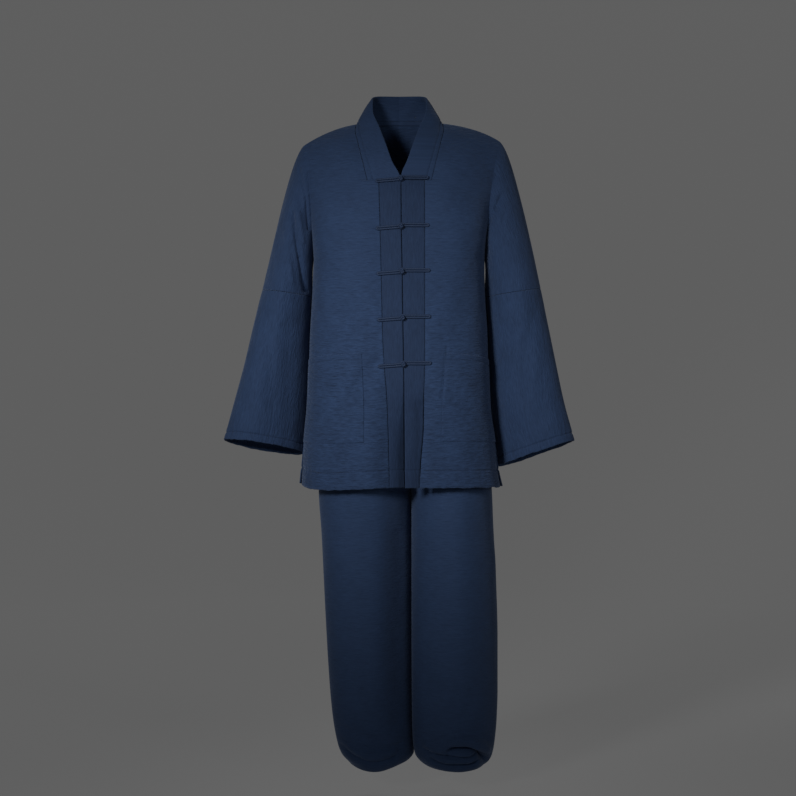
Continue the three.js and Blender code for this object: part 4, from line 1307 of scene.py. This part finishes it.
def pocket_sheet(side):
    """Pocket: its inner and outer edges are columns of the front, and the left one's inner
    edge leans."""
    downs = np.union1d(np.linspace(POCKET_TOP, POCKET_FOOT, 52),
                       POCKET_TOP + POCKET_STITCH + NEAR_STITCH)
    share, down = np.meshgrid(np.linspace(0, 1, 62), downs)
    v = row_at(down)
    lean = fade(row_at(POCKET_TOP), row_at(POCKET_FOOT), v)
    t = mix(mix(*POCKET_INNER[side], lean), POCKET_OUTER, share)
    flip = side == RIGHT
    at = front_point(side, t, v) - xyz(0, 0, front_hang(side, t, down))
    soft, normals = softened(at, flip, "front", side)
    soft = soft + normals * (-dent(soft, CREASES))[..., None]
    from_top = lengths_along(at, 0)
    wave = puckers(at, "pocket")
    height = groove(from_top - POCKET_STITCH, 1.8, 0.9) + POCKET_LIFT
    edge = np.minimum(lengths_along(at, 1), lengths_along(at[::-1], 0)[::-1])
    height += 0.35 * wave * np.exp(-((edge / 9) ** 2))
    soft = soft + normals * height[..., None]
    sheet = Sheet().grid(soft, body_places(soft, POCKET_WEFT_START), flip)
    line = int(np.argmin(np.abs(downs - POCKET_TOP - POCKET_STITCH)))
    return sheet.stitch(soft[line], normals[line])


sew_pair("pocket", pocket_sheet, POCKET_WALL, jacket_cloth)

# %% [markdown]
# ## Trousers
#
# Each leg is a front and a back, joined at the side and at the inner seam. At the ankle the
# cloth blouses: it runs down past the cuff, turns inside and comes up again to the elastic.
# Its lowest rows are the turn of that blouse.

# %% Cut and sew the legs
LEG_COLUMNS = np.linspace(0, 1, 86)
BLOUSE_TOP = 1240
FOLDS_FOOT = 1346
LEG_ROWS = np.concatenate([np.linspace(WAIST_FOOT, BLOUSE_TOP, 170)[:-1],
                           np.linspace(BLOUSE_TOP, LAST_ROW, 84)])
TROUSER_WALL = 2.0
LEG_CREASES = rows_of("x1 z1 x2 z2 width depth", [
    [174, -1322, 178, -1334, 12, 10],
    [120, -1262, 176, -1280, 8, 2.4],
    [66, -1280, 110, -1272, 7, 2.0],
    [-120, -1262, -40, -1286, 9, 2.6],
    [-128, -1298, -90, -1322, 6, 2.6],
])
LIPS = rows_of("side line depth reach", [
    [LEFT, [[88, -1302], [105, -1294], [128, -1293.5], [166, -1308], [190, -1330]], 21, 12],
    [LEFT, [[40, -1298], [82, -1310], [132, -1315], [164, -1309]], 11, 8],
    [LEFT, [[52, -1315], [94, -1331], [134, -1331], [164, -1322]], 12, 9],
    [RIGHT, [[-122, -1300], [-96, -1316], [-60, -1326], [-4, -1312]], 6, 9],
    [RIGHT, [[-90, -1290], [-50, -1298], [6, -1288]], 3, 10],
])
LIP_EDGE = 4
LIP_ENDS = 14


def lip_depth(side, at):
    """Where the cloth folds over itself: it bulges above each line, drops back just below it,
    and comes forward again over the fold's reach."""
    depth = np.zeros(at.shape[:-1])
    for lip in LIPS:
        line = np.array(lip.line, float)
        x = at[..., 0]
        below = through(line[:, 0], line[:, 1:], x)[..., 0] - at[..., 2]
        inside = fade(line[0, 0], line[0, 0] + LIP_ENDS, x)
        inside = inside * fade(0, LIP_ENDS, line[-1, 0] - x) * (lip.side == side)
        fallen = fade(0, LIP_EDGE, below) * np.exp(-((below / lip.reach) ** 2))
        full = 0.35 * np.exp(-(((below + lip.reach) / lip.reach) ** 2))
        depth += lip.depth * (fallen - full) * inside
    return depth


def leg_sheet(side, face):
    u, p = np.meshgrid(LEG_COLUMNS, LEG_ROWS)
    leg = leg_point(side, face, u, p)
    flip = (side == RIGHT) == (face == "back")
    soft, normals = softened(leg, flip, "leg", side)
    if face == "front":
        inside = np.minimum(1, 3 * np.sin(math.pi * u)) * (1 - fade(FOLDS_FOOT, LOWEST_ROW, p))
        folded = dent(soft, LEG_CREASES) + lip_depth(side, soft)
        soft = soft - normals * (folded * inside)[..., None]
    places = np.stack([lengths_along(leg, 1), p], axis=-1)
    return Sheet().grid(soft, places, flip)


for side, face in product((RIGHT, LEFT), ("front", "back")):
    sew(f"trouser_{face}_{SIDE_NAMES[side]}", leg_sheet(side, face), TROUSER_WALL,
        trouser_cloth)

# %% [markdown]
# ## Waistband and ankle cuffs
#
# Both are casings with elastic inside, drawn up into even gathers. A ring with small waves
# round it shows them: the wave's height is a cosine of the angle.

# %% Gather the casings
def casing_sheet(centre, half, top, foot, gathers, height, rows):
    """A gathered band: an ellipse with its centre and half widths in X and Y, less a wave."""
    angle, down = np.meshgrid(np.linspace(0, 2 * math.pi, gathers * 6 + 1),
                              np.linspace(top, foot, rows))
    full = np.sin(math.pi * (down - top) / (foot - top)) ** 0.5
    wave = height * (0.5 + 0.5 * np.cos(gathers * angle)) * (0.4 + 0.6 * full) - height
    ring = xyz(centre[0] + (half[0] + wave) * np.cos(angle),
               centre[1] + (half[1] + wave) * np.sin(angle), -down)
    ring[:, -1] = ring[:, 0]
    return Sheet().grid(ring, np.stack([lengths_along(ring, 1), down], axis=-1), False)


def ankle_sheet(side):
    radius = ANKLE_RADIUS - SEAM_GAP
    return casing_sheet((ANKLE_X[side], ANKLE_DEPTH), (radius, radius), CUFF_TOP, CUFF_FOOT,
                        34, 1.3, 9)


def waist_sheet():
    right, left = (float(legs[side](WAIST_FOOT).outer) for side in (RIGHT, LEFT))
    front = float(legs[RIGHT](WAIST_FOOT).front)
    return casing_sheet(((right + left) / 2, LEG_MIDDLE), ((left - right) / 2, front),
                        WAIST_TOP, WAIST_FOOT - SEAM_GAP, 72, 1.6, 12)


sew("waistband", waist_sheet(), TROUSER_WALL, trouser_cloth)
sew_pair("ankle_cuff", ankle_sheet, TROUSER_WALL, trouser_cloth)

# %% [markdown]
# ## Cord fastenings
#
# Each fastening is rolled cord, doubled and sewn down flat. The cord goes out along the upper
# lane, turns round at the outer end and comes back along the lower lane. On the wearer's
# left it ends in a loop, and on the right in a knot that slips through the loop.

# %% Roll the straps and tie the knots
FROG_LEVELS = [124, 223, 315.5, 410, 505]
CORD_RADIUS = 2.1
KNOT_RADIUS = 5.5
KNOT_CORD = 1.75
KNOT_TURN = 3.8
KNOT_LIFT = 0.9
LOOP_CORD = 1.35
BAND_SLOPE = 0.29
OUT = np.array([0.0, -1.0, 0.0])
STRAPS = {
    RIGHT: SimpleNamespace(start=4, end=50.5, rise=-0.5, hang=3.5),
    LEFT: SimpleNamespace(start=6, end=55, rise=3, hang=0),
}


def face_depth(x, z):
    """Depth of the jacket's face near the middle front, for what is sewn onto it."""
    x, z = np.broadcast_arrays(np.asarray(x, float), np.asarray(z, float))
    depth = np.empty(x.shape)
    down = np.maximum(-z, BAND_FOOT)
    middle = front_lines(down).middle
    for side in (RIGHT, LEFT):
        seam = band_seam(side, down)[..., 0]
        c = np.clip((x - seam) / (middle - seam), 0, 1)
        low = placket_point(side, c, down)[..., 1]
        high = foot_depth(side, x) + (z + BAND_FOOT) * BAND_SLOPE
        here = (x - middle) * side >= 0
        depth = np.where(here, np.where(z > -BAND_FOOT, high, low), depth)
    return depth


def strap_path(side, level):
    """One cord, out along the upper lane, round its outer end and back along the lower."""
    strap = STRAPS[side]
    middle = float(front_lines(level).middle)
    lane = CORD_RADIUS * 1.02
    reach = strap.end - strap.start - lane
    t = np.linspace(0, 1, 26)
    bend = np.linspace(-math.pi / 2, math.pi / 2, 11)[1:-1]
    along = np.concatenate([t * reach, reach + lane * np.cos(bend), (1 - t) * reach])
    lift = np.concatenate([np.full(26, lane), -lane * np.sin(bend), np.full(26, -lane)])
    x = middle + side * (strap.start + along)
    z = -level + strap.rise - strap.hang * along / (strap.end - strap.start) + lift
    y = np.minimum.reduce([face_depth(x, z + step) for step in (-2, 0, 2)])
    return xyz(x, y - SEAM_GAP - CORD_RADIUS * 0.95, z)


def knot_path(centre):
    """A button knot: three leads that wind round a ball, over and under one another."""
    t = np.linspace(0, 6 * math.pi, 170)
    height = 0.8 * np.cos(4 * t / 3)
    radius = KNOT_TURN * (1 + 0.13 * np.sin(8 * t / 3))
    level = np.sqrt(1 - height ** 2)
    ball = xyz(level * np.cos(t) * 0.82, height * 0.95, level * np.sin(t)) * radius[:, None]
    return centre + ball, ball / np.linalg.norm(ball, axis=1, keepdims=True)


def loop_path(level, y):
    """The end of the left strap: a loop that opens out and goes round behind the knot."""
    middle = float(front_lines(level).middle)
    t = np.linspace(0, 1, 34)
    angle = mix(0.16 * math.pi, 1.84 * math.pi, t)
    x = middle + 0.4 + 6.2 * np.cos(angle)
    z = -level + 0.6 + 5.9 * np.sin(angle)
    return xyz(x, y - 1.3 - 0.6 * np.abs(np.sin(angle)), z)


def make_cord(node, parts):
    dress(make_object(f"{node}_cord", *together(parts)), cord_material, node)


for k, level in enumerate(FROG_LEVELS):
    middle = float(front_lines(level).middle)
    depth = float(face_depth(middle + 0.6, -level))
    for side in (RIGHT, LEFT):
        path = strap_path(side, level)
        swelling = 1 - 0.25 * np.exp(-np.linspace(0, 1, len(path)) * 30)
        parts = [tube(path, np.broadcast_to(OUT, path.shape), CORD_RADIUS * swelling)]
        if side == LEFT:
            loop = loop_path(level, depth)
            parts.append(tube(loop, np.broadcast_to(OUT, loop.shape), LOOP_CORD))
        make_cord(f"frog_{k + 1}_strap_{SIDE_NAMES[side]}", parts)
    path, up = knot_path(np.array([middle, depth - KNOT_RADIUS - KNOT_LIFT, -level]))
    make_cord(f"frog_{k + 1}_knot", [tube(path, up, KNOT_CORD)])
print("fastenings", len(FROG_LEVELS))

# %% [markdown]
# ## Studio
#
# A round studio floor that curves up into its wall has no horizon from any side. A large
# soft light hangs before the chest, a little to the left, and fades towards the ankles, a
# weaker one fills the other side, and a third lights the back. The floor glows faintly, as a
# wall does in a bright room.

# %% Build the floor
FLOOR_LEVEL = -1395
FLAT_RADIUS = 4200
BEND_RADIUS = 3000
WALL_HEIGHT = 6500
GLOW = 0.099


def studio_floor():
    """A flat disc that curves up to a wall: radius and height along a profile, turned."""
    bend = np.linspace(0.05, 1, 16) * math.pi / 2
    radius = np.concatenate([np.linspace(1, FLAT_RADIUS, 12),
                             FLAT_RADIUS + BEND_RADIUS * np.sin(bend), [FLAT_RADIUS + BEND_RADIUS]])
    height = np.concatenate([np.zeros(12), BEND_RADIUS * (1 - np.cos(bend)), [WALL_HEIGHT]])
    angle = np.linspace(0, 2 * math.pi, 97)
    points = xyz(radius[:, None] * np.cos(angle), radius[:, None] * np.sin(angle),
                 FLOOR_LEVEL + np.broadcast_to(height[:, None], (len(radius), len(angle))))
    floor_points, faces, _ = Sheet().grid(points, points[..., :2]).joined()
    return make_object("studio_floor", floor_points, faces)


floor = studio_floor()
floor_finish = Finish("pale floor", Base_Color=(0.16, 0.16, 0.16, 1), Roughness=0.95,
                      Emission_Color=(1, 1, 1, 1), Emission_Strength=GLOW)
floor.data.materials.append(floor_finish.material)

# %% Hang the lights
LIGHTS = rows_of("name place aim size power spread", [
    ["key_light", (-1.45, -3.1, 0.3), (0, 0, -0.48), 0.7, 2.15, 24],
    ["fill_light", (1.8, -2.9, 0.1), (0, 0, -0.46), 0.9, 0.45, 24],
    ["back_light", (0.2, 3.4, 0.2), (0, 0, -0.5), 1.0, 2.2, 30],
])
for row in LIGHTS:
    data = bpy.data.lights.new(row.name, "AREA")
    data.size = row.size
    data.energy = row.power
    data.spread = math.radians(row.spread)
    lamp = bpy.data.objects.new(row.name, data)
    bpy.context.scene.collection.objects.link(lamp)
    lamp.location = row.place
    lamp.visible_camera = False
    aim = np.array(row.aim) - np.array(row.place)
    lamp.rotation_euler = (math.acos(-aim[2] / np.linalg.norm(aim)), 0,
                           math.atan2(aim[1], aim[0]) - math.pi / 2)

AMBIENT = 0.015
world = bpy.data.worlds.new("studio")
bpy.context.scene.world = world
world.use_nodes = True
world.node_tree.nodes["Background"].inputs["Color"].default_value = (0.9, 0.95, 1, 1)
world.node_tree.nodes["Background"].inputs["Strength"].default_value = AMBIENT
bpy.context.scene.view_settings.view_transform = "Standard"
